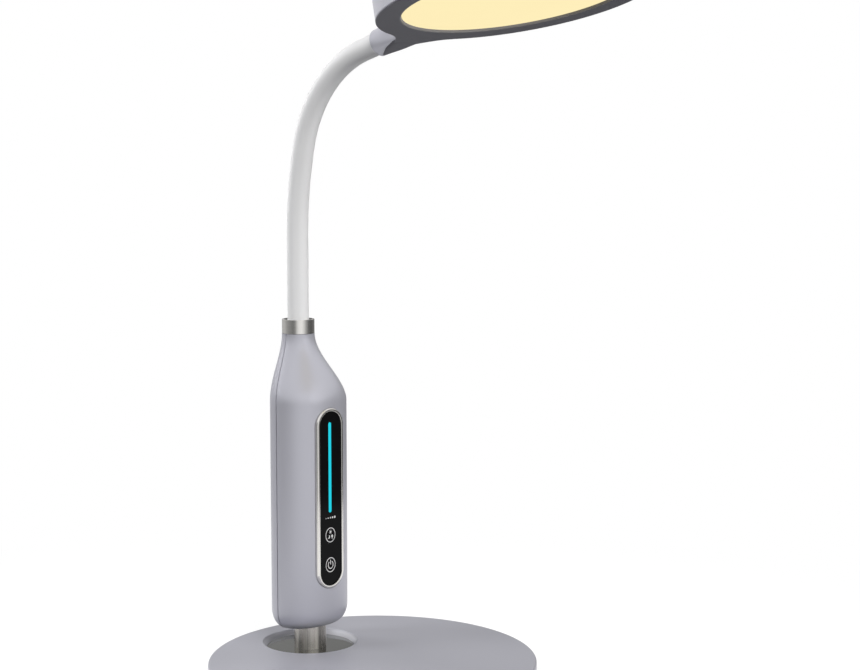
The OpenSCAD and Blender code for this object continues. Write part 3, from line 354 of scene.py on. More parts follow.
def loft(mesh, rings):
    """Bridge rings in a row and close both ends."""
    bridge(mesh, *rings)
    for ring in (rings[0], rings[-1]):
        bmesh.ops.edgeloop_fill(mesh, edges=ring)


def turn_profile(mesh, profile, steps, place=Matrix.Identity(4), closed=True):
    """Spin a profile of (radius, height) points about the place's Z axis."""
    verts = [mesh.verts.new((r, 0, z)) for r, z in profile]
    follow = verts[1:] + verts[:1] if closed else verts[1:]
    edges = [mesh.edges.new(pair) for pair in zip(verts, follow)]
    bmesh.ops.spin(mesh, geom=verts + edges, cent=(0, 0, 0), axis=(0, 0, 1), angle=TURN, steps=steps,
                   use_merge=True)
    bmesh.ops.remove_doubles(mesh, verts=mesh.verts, dist=1e-7)
    bmesh.ops.transform(mesh, matrix=place, verts=mesh.verts)


def turned(name, profile, steps, place=Matrix.Identity(4), closed=True):
    """An object spun from a profile."""
    mesh = bmesh.new()
    turn_profile(mesh, profile, steps, place, closed)
    return as_object(mesh, name)


def arc(middle, radius, start, end, steps):
    """Points of a rounding in a profile, angles in degrees."""
    turns = [math.radians(start + (end - start) * i / steps) for i in range(steps + 1)]
    return [(middle[0] + radius * math.cos(a), middle[1] + radius * math.sin(a)) for a in turns]


def ease_in_out(t):
    return t * t * (3 - 2 * t)


def thicken(mesh, faces, reach):
    """Draw flat faces out into a solid."""
    made = bmesh.ops.extrude_face_region(mesh, geom=faces)["geom"]
    bmesh.ops.translate(mesh, verts=only(bmesh.types.BMVert, made), vec=reach)


def slab(points, reach):
    """A flat outline drawn out into a solid."""
    mesh = bmesh.new()
    thicken(mesh, [mesh.faces.new([mesh.verts.new(point) for point in points])], reach)
    return mesh


def as_object(mesh, name):
    bmesh.ops.remove_doubles(mesh, verts=mesh.verts, dist=1e-7)
    bmesh.ops.recalc_face_normals(mesh, faces=mesh.faces)
    data = bpy.data.meshes.new(name)
    mesh.to_mesh(data)
    mesh.free()
    made = bpy.data.objects.new(name, data)
    bpy.context.scene.collection.objects.link(made)
    return made


def combine(piece, tool, how):
    """Join or cut a piece with a tool body, and keep the result as the piece's own mesh."""
    step = piece.modifiers.new("combine", "BOOLEAN")
    step.object = tool
    step.operation = how
    step.solver = "MANIFOLD"
    bpy.context.view_layer.update()
    shape = bpy.data.meshes.new_from_object(piece.evaluated_get(bpy.context.evaluated_depsgraph_get()))
    if not shape.polygons:
        raise RuntimeError(f"nothing is left of {piece.name} and {tool.name}")
    piece.modifiers.remove(step)
    piece.data = shape
    bpy.data.objects.remove(tool)


def soften(piece, sharp=50):
    """Smooth shading that keeps edges sharper than the angle."""
    for face in piece.data.polygons:
        face.use_smooth = True
    piece.data.set_sharp_from_angle(angle=math.radians(sharp))


def dress(piece, finish, slot, *nodes):
    """Give a piece its finish and hide the CAD nodes it stands for."""
    piece.data.materials.clear()
    piece.data.materials.append(finish_named(finish))
    if nodes:
        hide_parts(*nodes)
    return piece


def complete(piece, finish, slot, body, *nodes, sharp=32):
    """Shade a rigid piece with its flat faces kept flat, dress it and let it ride on its body."""
    soften(piece, sharp)
    weights = piece.modifiers.new("flat faces", "WEIGHTED_NORMAL")
    weights.keep_sharp = True
    weights.weight = 80
    dress(piece, finish, slot, *nodes)
    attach(piece, body)


def facing_front(y, z):
    """Place in the middle plane: X across, local Y up, local Z out towards the front."""
    return Matrix.Translation((0, y, z)) @ Matrix.Rotation(math.pi / 2, 4, "X")


def facing_rear(x, z):
    """Place on the post's axis with local Z out towards the rear."""
    return Matrix.Translation((x, POST_Y, z)) @ Matrix.Rotation(-math.pi / 2, 4, "X")


def in_head(sizes):
    """Head frame: origin at the middle of the underside, Z out of its top."""
    turn = Matrix.Rotation(-sizes.tilt, 4, "X")
    rise = sizes.ledge + DIFFUSER_DEPTH / 2
    return Matrix.Translation(DIFFUSER_MIDDLE) @ turn @ Matrix.Translation((0, 0, -rise))


# Finishes


def fill(tree, node, sockets):
    """Set each named socket of a node to a constant, or link it to another node's socket."""
    for key, value in sockets.items():
        if isinstance(value, bpy.types.NodeSocket):
            tree.links.new(value, node.inputs[key])
        else:
            node.inputs[key].default_value = value


def add(tree, kind, sockets, out=0, **settings):
    """A new shader node with its settings and sockets; returns one of its outputs."""
    node = tree.nodes.new(f"ShaderNode{kind}")
    for key, value in settings.items():
        setattr(node, key, value)
    fill(tree, node, sockets)
    return node.outputs[out]


def object_place(tree):
    return add(tree, "TexCoord", {}, "Object")


def begin_finish(name):
    finish = bpy.data.materials.new(name)
    finish.use_nodes = True
    tree = finish.node_tree
    return finish, tree, tree.nodes["Principled BSDF"], object_place(tree)


def noise(tree, place, scale, detail=3.0):
    return add(tree, "TexNoise", {"Vector": place, "Scale": scale, "Detail": detail}, "Fac")


def remap(tree, value, low, high):
    """The middle half of a noise's range, spread from low to high."""
    ends = {"From Min": 0.25, "From Max": 0.75, "To Min": low, "To Max": high}
    return add(tree, "MapRange", {"Value": value, **ends}, "Result")


def fade(tree, value, start, end):
    """Nothing at the start and one at the end, with soft ends."""
    return add(tree, "MapRange", {"Value": value, "From Min": start, "From Max": end}, "Result",
               interpolation_type="SMOOTHSTEP")


def mix(tree, factor, first, second):
    return add(tree, "Mix", {"Factor": factor, "A": first, "B": second}, "Result", data_type="RGBA")


def vary(tree, value, base, spread):
    """A colour that drifts about the base by the spread as the value goes from low to high."""
    darker = (*[c * (1 - spread) for c in base], 1)
    lighter = (*[min(1, c * (1 + spread)) for c in base], 1)
    return mix(tree, value, darker, lighter)


def raise_grain(tree, shader, value, strength, distance):
    grain = add(tree, "Bump", {"Height": value, "Strength": strength, "Distance": distance}, "Normal")
    fill(tree, shader, {"Normal": grain})


def within(tree, place, around, radius):
    """One inside a radius about the axis of a place, and nothing outside it."""
    blur = 0.5 * MM
    axis = {"Location": around.to_translation(), "Rotation": around.to_euler()}
    moved = add(tree, "Mapping", {"Vector": place, **axis}, vector_type="TEXTURE")
    flat = add(tree, "VectorMath", {0: moved, 1: (1, 1, 0)}, operation="MULTIPLY")
    reach = add(tree, "VectorMath", {0: flat}, "Value", operation="LENGTH")
    ends = {"From Min": radius + blur, "From Max": radius - blur}
    return add(tree, "MapRange", {"Value": reach, **ends}, "Result")


def lacquer(name, base, rough=0.48, speckle=0.02, gloss=0.25, metal=0.0, inside=None):
    """Satin lacquer or moulded plastic: fine speckle, slight drift of tone and a faint texture.

    inside gives the tone within a radius about a place's axis, here painted light on the recess rim and
    chamfer.
    """
    finish, tree, shader, place = begin_finish(name)
    fine = noise(tree, place, scale=1800)
    drift = noise(tree, place, scale=14)
    parts = {0: remap(tree, fine, 0.0, 0.6), 1: remap(tree, drift, 0.0, 0.4)}
    tone = add(tree, "Math", parts, operation="ADD", use_clamp=True)
    paint = vary(tree, tone, base, speckle)
    if inside:
        paler, around, radius = inside
        paint = mix(tree, within(tree, place, around, radius), paint, vary(tree, tone, paler, speckle))
    fill(tree, shader, {"Base Color": paint, "Roughness": remap(tree, fine, rough - 0.04, rough + 0.04),
                        "Specular IOR Level": gloss, "Metallic": metal})
    raise_grain(tree, shader, fine, strength=0.12, distance=0.02 * MM)
    return finish


def drawn_metal(name, base, rough, scale, spread=0.06, around=0.0, relief=0.08):
    """Polished or brushed metal: lines across the directions of large scale, or a sheen turned about Z."""
    finish, tree, shader, place = begin_finish(name)
    lines = noise(tree, add(tree, "Mapping", {"Vector": place, "Scale": scale}), scale=1.0, detail=4.0)
    fill(tree, shader, {"Metallic": 1.0, "Base Color": vary(tree, remap(tree, lines, 0.0, 1.0), base, spread),
                        "Roughness": remap(tree, lines, rough * 0.7, rough * 1.3)})
    if relief:
        raise_grain(tree, shader, lines, strength=relief, distance=0.01 * MM)
    if around:
        sheen = add(tree, "Tangent", {}, direction_type="RADIAL", axis="Z")
        fill(tree, shader, {"Anisotropic": around, "Anisotropic Rotation": 0.25, "Tangent": sheen})
    return finish


def black_glass(name, base):
    """Black glass with faint smudges."""
    finish, tree, shader, place = begin_finish(name)
    smudge = noise(tree, place, scale=160)
    fill(tree, shader, {"Base Color": vary(tree, smudge, base, spread=0.15), "Specular IOR Level": 0.06,
                        "Roughness": remap(tree, smudge, 0.06, 0.14)})
    return finish


def lit(name, base, grain, spread):
    """A lit face: the light's colour with a slight unevenness behind a satin surface."""
    finish, tree, shader, place = begin_finish(name)
    cloud = noise(tree, place, grain)
    fill(tree, shader, {"Base Color": (0.01, 0.01, 0.01, 1), "Specular IOR Level": 0.0,
                        "Emission Strength": 1.0, "Emission Color": vary(tree, cloud, base, spread),
                        "Roughness": remap(tree, cloud, 0.45, 0.6)})
    return finish


def soft_skin(name, base):
    """Matt elastomer skin: a fine even grain."""
    finish, tree, shader, place = begin_finish(name)
    fine = noise(tree, place, scale=1400)
    fill(tree, shader, {"Base Color": vary(tree, fine, base, spread=0.02),
                        "Roughness": remap(tree, fine, 0.42, 0.56)})
    raise_grain(tree, shader, fine, strength=0.1, distance=0.02 * MM)
    return finish


def finish_named(key):
    """The lamp's finishes, each made once."""
    look = bpy.context.scene.lamp_finishes
    head = bpy.context.scene.lamp_head
    recess = bpy.context.scene.lamp_base.recess_radius
    name = f"lamp_{key}"
    found = bpy.data.materials.get(name)
    if found:
        return found
    # Painted light: paler band on the bevel round the base's recess
    rim = look.rim, Matrix.Translation((0, POST_Y, 0)), recess - 0.2 * MM
    # Painted light: paler chamfer round the head's lit opening
    opening = look.chamfer, in_head(head), head.light_radius + head.chamfer + 0.3 * MM
    even, painted_reflection_streaks, level = (300, 300, 300), (430, 430, 4), (8, 8, 1600)
    makers = {
        "silver": lambda: lacquer(name, look.silver, rough=0.4, metal=0.5),
        "silver_with_painted_light_rim": lambda: lacquer(name, look.silver, rough=0.4, metal=0.5, inside=rim),
        # Painted shade on the ring, tail and tongue under the head, with a painted lighter chamfer round the
        # opening
        "underside_painted_shade": lambda: lacquer(name, look.underside_painted_shade, gloss=0.12, inside=opening),
        # Post: drawn grain, with strong upright streaks of painted reflection in its colour
        "post": lambda: drawn_metal(name, look.post, 0.26, painted_reflection_streaks, spread=0.4, around=0.93, relief=0.03),
        "collar": lambda: drawn_metal(name, look.chrome, 0.15, level, spread=0.02, around=0.2, relief=0.03),
        "bezel": lambda: drawn_metal(name, look.chrome, 0.15, (90, 90, 90), spread=0.015, relief=0),
        "disc": lambda: drawn_metal(name, look.disc, 0.07, (240, 240, 240), spread=0.04),
        "glass": lambda: black_glass(name, look.glass),
        "marks": lambda: lacquer(name, look.marks, rough=0.5),
        "slider": lambda: lit(name, look.slider, grain=260, spread=0.04),
        "light": lambda: lit(name, look.lamp, grain=30, spread=0.012),
        "sleeve": lambda: soft_skin(name, look.sleeve),
        "black": lambda: lacquer(name, (0.012, 0.012, 0.013), rough=0.5, speckle=0.1),
        "floor": lambda: lacquer(name, (0.08, 0.079, 0.085), rough=0.55, speckle=0.06),
        "foam": lambda: soft_skin(name, (0.025, 0.025, 0.027)),
        "steel": lambda: drawn_metal(name, (0.42, 0.43, 0.44), 0.35, even),
        "brass": lambda: drawn_metal(name, (0.58, 0.36, 0.07), 0.25, even),
        "green": lambda: lacquer(name, (0.03, 0.15, 0.06), rough=0.4, speckle=0.1),
        "white": lambda: lacquer(name, (0.75, 0.74, 0.70), rough=0.45, speckle=0.03),
        "phosphor": lambda: lacquer(name, (0.90, 0.66, 0.15), rough=0.3, speckle=0.05),
        "wire": lambda: soft_skin(name, (0.02, 0.02, 0.021)),
    }
    return makers[key]()


# Route of the gooseneck


def neck_ends(sizes):
    """Lengths along the neck at which its sweep, straight and hook end."""
    sweep_end = sizes.rise + sizes.sweep_radius * sizes.sweep
    hook_start = sweep_end + sizes.straight
    return sweep_end, hook_start, hook_start + sizes.hook_radius * (sizes.hook_end - sizes.sweep)


def neck_place(sizes, s):
    """Matrix whose Z axis follows the neck at the length s above the collar."""
    sweep_end, hook_start, hook_end = neck_ends(sizes)
    neck_y = POST_Y + bpy.context.scene.lamp_column.set_back
    pieces = ((sizes.rise, 0.0), (sweep_end, 1 / sizes.sweep_radius), (hook_start, 0.0),
              (hook_end, 1 / sizes.hook_radius), (math.inf, 0.0))
    y, z, lean, done = neck_y, sizes.collar_top, 0.0, 0.0
    if s < 0:
        return Matrix.Translation((0, y, z + s))
    for end, bend in pieces:
        part = min(s, end) - done
        if bend:
            y -= (math.cos(lean) - math.cos(lean + part * bend)) / bend
            z += (math.sin(lean + part * bend) - math.sin(lean)) / bend
            lean += part * bend
        else:
            y -= part * math.sin(lean)
            z += part * math.cos(lean)
        done += part
        if s <= end:
            break
    return Matrix.Translation((0, y, z)) @ Matrix.Rotation(lean, 4, "X")


# Operators


class LampOperator:
    bl_options = {"REGISTER", "UNDO"}


class LAMP_OT_stage(LampOperator, bpy.types.Operator):
    """Camera, floor, backdrop light and lamps around the desk lamp"""

    bl_idname = "lamp.stage"
    bl_label = "Stage"

    def execute(self, context):
        self.camera(context.scene)
        self.world(context.scene)
        self.floor()
        self.cards()
        self.lamps(context.scene)
        context.scene.view_settings.view_transform = "Standard"
        return {"FINISHED"}

    def camera(self, scene):
        data = bpy.data.cameras.new("lamp_camera")
        data.sensor_width = SENSOR
        data.lens = LENS
        data.clip_start = 0.01
        data.clip_end = 200
        eye = bpy.data.objects.new("lamp_camera", data)
        eye.location = EYE
        eye.rotation_euler = EYE_TURN
        scene.collection.objects.link(eye)
        scene.camera = eye

    def bare_finish(self, piece):
        """Give a piece a material of its own name with nothing on its surface yet."""
        finish = bpy.data.materials.new(piece.name)
        finish.use_nodes = True
        tree = finish.node_tree
        tree.nodes.remove(tree.nodes["Principled BSDF"])
        piece.data.materials.append(finish)
        return tree, tree.nodes["Material Output"]

    def seen_directly(self, tree):
        """1 for rays from the camera, off gloss and through glass, 0 for light that falls on the lamp."""
        path = tree.nodes.new("ShaderNodeLightPath").outputs
        total = path["Is Camera Ray"]
        for ray in ("Is Glossy Ray", "Is Transmission Ray"):
            total = add(tree, "Math", {0: total, 1: path[ray]}, operation="MAXIMUM")
        return total

    def world(self, scene):
        world = bpy.data.worlds.new("lamp_world")
        world.use_nodes = True
        tree = world.node_tree
        light = tree.nodes["Background"]
        fill(tree, light, {"Color": AMBIENT_TINT, "Strength": AMBIENT})
        backdrop = add(tree, "Background", {"Color": WHITE, "Strength": 1.0})
        shaders = {1: light.outputs["Background"], 2: backdrop}
        both = add(tree, "MixShader", {"Fac": self.seen_directly(tree), **shaders})
        fill(tree, tree.nodes["World Output"], {"Surface": both})
        scene.world = world

    def floor(self):
        """Pale floor: it keeps the shadow nearby, is plain white further out and throws little light back."""
        mesh = bmesh.new()
        bmesh.ops.create_grid(mesh, x_segments=8, y_segments=8, size=FLOOR_HALF)
        plane = as_object(mesh, "studio_floor")
        tree, end = self.bare_finish(plane)
        shaded = add(tree, "BsdfDiffuse", {"Color": FLOOR_TONE})
        near = add(tree, "AddShader", {0: shaded, 1: add(tree, "Emission", {"Strength": FLOOR_GLOW})})
        white = add(tree, "Emission", {"Color": WHITE})
        away = add(tree, "VectorMath", {0: object_place(tree)}, "Value", operation="LENGTH")
        shown = add(tree, "MixShader", {"Fac": fade(tree, away, *FLOOR_FADE), 1: near, 2: white})
        dim = add(tree, "BsdfDiffuse", {"Color": FLOOR_BOUNCE})
        both = add(tree, "MixShader", {"Fac": self.seen_directly(tree), 1: dim, 2: shown})
        fill(tree, end, {"Surface": both})

    def cards(self):
        """Ring of grey and white cards around the lamp, which only its gloss shows."""
        mesh = bmesh.new()
        ring = draw_ring(mesh, CARD_RADIUS, 96, Matrix.Translation((0, POST_Y, CARD_FOOT)))
        pull(mesh, ring, Matrix.Translation((0, 0, CARD_HEIGHT)))
        wall = as_object(mesh, "studio_cards")
        tree, end = self.bare_finish(wall)
        place = object_place(tree)
        bearing = add(tree, "Mapping", {"Vector": place, "Location": (0, POST_Y, 0),
                                        "Rotation": (0, 0, TO_CAMERA + CARD_TURN)}, vector_type="TEXTURE")
        tones = tree.nodes.new("ShaderNodeValToRGB")
        stops = tones.color_ramp.elements
        while len(stops) > 1:
            stops.remove(stops[0])
        for i, (side, tone) in enumerate(CARDS):
            at = 0.5 + side / 360
            stop = stops.new(at) if i else stops[0]
            stop.position = at
            stop.color = (tone, tone, tone, 1)
        around = add(tree, "TexGradient", {"Vector": bearing}, "Fac", gradient_type="RADIAL")
        fill(tree, tones, {"Fac": around})
        height = add(tree, "SeparateXYZ", {"Vector": place}, "Z")
        paler = mix(tree, fade(tree, height, *CARD_FADE), tones.outputs["Color"], WHITE)
        fill(tree, end, {"Surface": add(tree, "Emission", {"Color": paler})})
        for rays in ("camera", "diffuse", "shadow", "transmission", "volume_scatter"):
            setattr(wall, f"visible_{rays}", False)

    def lamps(self, scene):
        for name, bearing, height, away, size, watts in LAMPS:
            turn = TO_CAMERA + math.radians(bearing)
            rise = math.radians(height)
            out = Vector((math.cos(turn) * math.cos(rise), math.sin(turn) * math.cos(rise), math.sin(rise)))
            place = AIM + away * out
            data = bpy.data.lights.new(f"studio_{name}", "AREA")
            data.shape = "DISK"
            data.size = size
            data.energy = watts
            lamp = bpy.data.objects.new(f"studio_{name}", data)
            lamp.visible_glossy = False
            lamp.visible_camera = False
            lamp.location = place
            lamp.rotation_euler = (AIM - place).to_track_quat("-Z", "Y").to_euler()
            scene.collection.objects.link(lamp)


class LAMP_OT_base(LampOperator, bpy.types.Operator):
    """Round cover of the base with its offset recess"""

    bl_idname = "lamp.base"
    bl_label = "Base cover"

    def execute(self, context):
        sizes = context.scene.lamp_base
        segments = 160
        rim_ease = 0.4 * MM
        mouth_edge = 0.5 * MM
        lead = mouth_edge * 0.35
        top, low, radius = sizes.top, sizes.rim, sizes.radius
        under = top - sizes.wall
        inner = radius - sizes.wall
        flat = radius - sizes.edge
        hole = sizes.disc_radius + sizes.disc_gap
        mouth_start = sizes.recess_radius + mouth_edge
        mesh = bmesh.new()
        rim = draw_ring(mesh, flat, segments, Matrix.Translation((0, 0, top)))
        mouth = draw_ring(mesh, mouth_start, segments, Matrix.Translation((0, POST_Y, top)))
        bridge(mesh, rim, mouth)
        outside = arc((flat, top - sizes.edge), sizes.edge, 90, 0, 6)[1:]
        outside += [(radius, low + rim_ease), (radius - rim_ease, low), (inner, low), (inner, under)]
        rim = pull_rings(mesh, rim, Vector(), (flat, top), outside)
        recess = [(sizes.recess_radius + lead, top - lead * 0.4),
                  (sizes.recess_radius - lead, top - lead * 2),
                  (hole, sizes.disc_top), (hole, sizes.disc_under),
                  (hole + sizes.skirt, sizes.disc_under), (hole + sizes.skirt, under)]
        mouth = pull_rings(mesh, mouth, Vector((0, POST_Y, 0)), (mouth_start, top), recess)
        bridge(mesh, rim, mouth)
        cover = as_object(mesh, "base_cover_shell")
        self.cut_socket(cover, sizes)
        complete(cover, "silver_with_painted_light_rim", "silver_plastic", "base", "base_cover")
        return {"FINISHED"}

    def cut_socket(self, cover, sizes):
        outside, step, inside = -5 * MM, 1 * MM, 8 * MM
        flange, nose = sizes.jack_flange + FIT, JACK_NOSE + FIT
        profile = [(0, outside), (flange, outside), (flange, step), (nose, step), (nose, inside), (0, inside)]
        place = facing_front(sizes.radius, sizes.jack_height)
        combine(cover, turned("socket_cut", profile, 64, place, closed=False), "DIFFERENCE")


class LAMP_OT_swivel(LampOperator, bpy.types.Operator):
    """Polished turntable disc and the bright hollow post"""

    bl_idname = "lamp.swivel"
    bl_label = "Swivel disc and post"

    def execute(self, context):
        sizes = context.scene.lamp_base
        place = Matrix.Translation((0, POST_Y, 0))
        ease = 0.25 * MM
        low, high = sizes.disc_under, sizes.disc_top
        bore = sizes.stem_radius + 0.05 * MM
        outer = sizes.disc_radius
        profile = [(bore, low), (outer - ease, low), (outer, low + ease), (outer, high - ease),
                   (outer - ease, high), (bore, high)]
        disc = turned("turntable_plate", profile, 128, place)
        complete(disc, "disc", "polished_disc", "column", "turntable_disc")

        low, high, step = LOW["post_tube"].z, HIGH["post_tube"].z, sizes.disc_top
        bore, stem, outer = sizes.post_bore, sizes.stem_radius, sizes.post_radius
        # Groove that the lower column screws grip
        grip = context.scene.lamp_column.foot + SCREW_RISE
        half = 1.35 * MM
        waist = outer - 0.8 * MM
        profile = [(bore, low), (stem - ease, low), (stem, low + ease), (stem, step), (outer, step),
                   (outer, grip - half), (waist, grip - half), (waist, grip + half), (outer, grip + half),
                   (outer, high - ease), (outer - ease, high), (bore, high)]
        post = turned("post_tube_polished", profile, 96, place)
        complete(post, "post", "chrome", "column", "post_tube")
        return {"FINISHED"}


def screw_spots(context):
    """Places of the column's screws across and up."""
    low = context.scene.lamp_column.foot + SCREW_RISE
    high = PANEL_Z + context.scene.lamp_panel.bezel_height / 2 + 6 * MM
    return [(x, z) for z in (low, high) for x in (-SCREW_SIDE, SCREW_SIDE)]


class LAMP_OT_column(LampOperator, bpy.types.Operator):
    """Front and rear shells of the column, with the panel's opening and the screw wells"""

    bl_idname = "lamp.column"
    bl_label = "Column shells"

    def section(self, sizes, z, inset=0.0):
        """Half width, half depth and set-back of the column at a height."""
        t = min(1, max(0, (z - (sizes.top - sizes.shoulder)) / sizes.shoulder))
        f, g = (ease_in_out(u) for u in (t, t ** sizes.lead))
        rise = z - sizes.foot
        draw = inset
        if rise < sizes.round_height:
            draw += sizes.round_inset * (1 - math.sqrt(max(0, 1 - (1 - rise / sizes.round_height) ** 2)))
        return (sizes.half_width + (sizes.throat - sizes.half_width) * f - draw,
                sizes.half_depth + (sizes.throat - sizes.half_depth) * f - draw,
                sizes.set_back * g)

    def levels(self, sizes):
        turns = [math.radians(90 * i / 10) for i in range(11)]
        foot = [sizes.foot + sizes.round_height * (1 - math.cos(a)) for a in turns]
        shoulder = sizes.top - sizes.shoulder
        side = [foot[-1] + (shoulder - foot[-1]) * i / 36 for i in range(1, 37)]
        top = [shoulder + sizes.shoulder * i / 32 for i in range(1, 33)]
        return foot + side + top

    def half(self, sizes, hole, side):
        """One shell: half a ring drawn up through the levels outside, and back down inside."""
        floor_top = sizes.foot + 2.5 * MM
        outside = self.levels(sizes)
        inside = [z for z in reversed(outside) if z > floor_top + 0.2 * MM] + [floor_top]
        route = [((hole, hole, 0.0), sizes.foot)]
        route += [(self.section(sizes, z), z) for z in outside]
        route += [(self.section(sizes, z, sizes.wall), z) for z in inside]
        route += [((hole, hole, 0.0), floor_top)]
        shift = side * sizes.part_gap / 2

        def middle(back, z):
            return Matrix.Translation((0, POST_Y + back + shift, z))

        mesh = bmesh.new()
        lip = sizes.groove_angle
        start = mesh.verts.new((math.cos(lip), side * math.sin(lip), 0))
        bmesh.ops.spin(mesh, geom=[start], cent=(0, 0, 0), axis=(0, 0, 1), angle=side * (math.pi - 2 * lip),
                       steps=56)
        ends = [vert for vert in mesh.verts if len(vert.link_edges) == 1]
        for change in (Matrix.Diagonal((1 - sizes.groove, 1, 1, 1)), Matrix.Diagonal((1, 0, 1, 1))):
            ends = bmesh.ops.extrude_vert_indiv(mesh, verts=ends)["verts"]
            bmesh.ops.transform(mesh, matrix=change, verts=ends)
        (a, b, back), z = route[0]
        bmesh.ops.transform(mesh, verts=mesh.verts, matrix=middle(back, z) @ Matrix.Diagonal((a, b, 1, 1)))
        first = edges = list(mesh.edges)
        for (a2, b2, back2), z2 in route[1:]:
            size = Matrix.Diagonal((a2 / a, b2 / b, 1, 1))
            edges = pull(mesh, edges, middle(back2, z2) @ size @ middle(back, z).inverted())
            a, b, back, z = a2, b2, back2, z2
        bridge(mesh, first, edges)
        bmesh.ops.holes_fill(mesh, edges=[edge for edge in mesh.edges if edge.is_boundary])
        return mesh

    def execute(self, context):
        sizes = context.scene.lamp_column
        panel = context.scene.lamp_panel
        hole = context.scene.lamp_base.post_radius + 0.3 * MM
        front = as_object(self.half(sizes, hole, -1), "column_front")
        mesh = bmesh.new()
        run = panel.bezel_height - panel.bezel_width
        room = panel.bezel_width / 2 + FIT
        loft(mesh, [draw_stadium(mesh, room, run, height) for height in (10 * MM, -8 * MM)])
        bmesh.ops.transform(mesh, verts=mesh.verts, matrix=facing_front(PANEL_Y, PANEL_Z))
        combine(front, as_object(mesh, "panel_cut"), "DIFFERENCE")
        complete(front, "silver", "silver_plastic", "column", "body_front_shell")

        rear = as_object(self.half(sizes, hole, 1), "column_rear")
        well, outside = 2.9 * MM, 30 * MM
        profile = [(0, SCREW_SEAT), (well, SCREW_SEAT), (well, outside), (0, outside)]
        for x, z in screw_spots(context):
            combine(rear, turned("well_cut", profile, 40, facing_rear(x, z), closed=False), "DIFFERENCE")
        complete(rear, "silver", "silver_plastic", "column", "body_rear_shell")
        return {"FINISHED"}


class LAMP_OT_panel(LampOperator, bpy.types.Operator):
    """Bright bezel, black glass and the lit slider of the touch panel"""

    bl_idname = "lamp.panel"
    bl_label = "Touch panel"

    def execute(self, context):
        sizes = context.scene.lamp_panel
        run = sizes.bezel_height - sizes.bezel_width
        outer = sizes.bezel_width / 2
        inner = outer - sizes.bezel_rim
        self.bezel(sizes, run, outer, inner)

        ease = 0.15 * MM
        glass = inner - FIT
        under = -sizes.glass_depth
        middle = sizes.bezel_height / 2 - sizes.slider_drop - sizes.slider_height / 2
        bar = sizes.slider_width / 2
        bar_run = sizes.slider_height - sizes.slider_width
        mesh = bmesh.new()
        slot = bar + FIT
        sections = ((slot, bar_run, 0, middle), (glass - ease, run, 0), (glass, run, -ease),
                    (glass, run, under), (slot, bar_run, under, middle))
        rings = [draw_stadium(mesh, *section) for section in sections]
        bridge(mesh, *rings[1:4])
        bridge(mesh, rings[4], rings[0])
        for hole, around in ((rings[0], rings[1]), (rings[4], rings[3])):
            bmesh.ops.triangle_fill(mesh, use_beauty=True, edges=hole + around)
        self.place(mesh, "panel_glass", "glass", "black_glass", "touch_panel")

        step = under - FIT
        foot = bar + 1 * MM
        depth = HIGH["slider_light_guide"].y - LOW["slider_light_guide"].y
        profile = ((bar - ease, 0), (bar, -ease), (bar, step), (foot, step), (foot, -depth))
        mesh = bmesh.new()
        loft(mesh, [draw_stadium(mesh, r, bar_run, z, middle) for r, z in profile])
        self.place(mesh, "slider_bar", "slider", "light_guide", "slider_light_guide")
        return {"FINISHED"}

    def bezel(self, sizes, run, outer, inner):
        crown = 0.6 * sizes.bezel_rim
        edge = 0.2 * MM
        back = -sizes.bezel_depth
        front = back + sizes.flange
        profile = arc((outer - crown, sizes.bezel_proud - crown), crown, 0, 90, 8)
        profile += arc((inner + edge, sizes.bezel_proud - edge), edge, 90, 180, 4)
        profile += [(inner, back), (sizes.flange_radius, back), (sizes.flange_radius, front), (outer, front)]
        mesh = bmesh.new()
        turn_profile(mesh, profile, STADIUM_STEPS, Matrix.Rotation(TURN / (2 * STADIUM_STEPS), 4, "Z"))
        stretch(mesh, mesh.verts, run)
        self.place(mesh, "bezel_ring", "bezel", "chrome", "panel_bezel")

    def place(self, mesh, name, finish, slot, replaced):
        bmesh.ops.transform(mesh, verts=mesh.verts, matrix=facing_front(PANEL_Y, PANEL_Z))
        complete(as_object(mesh, name), finish, slot, "column", replaced)


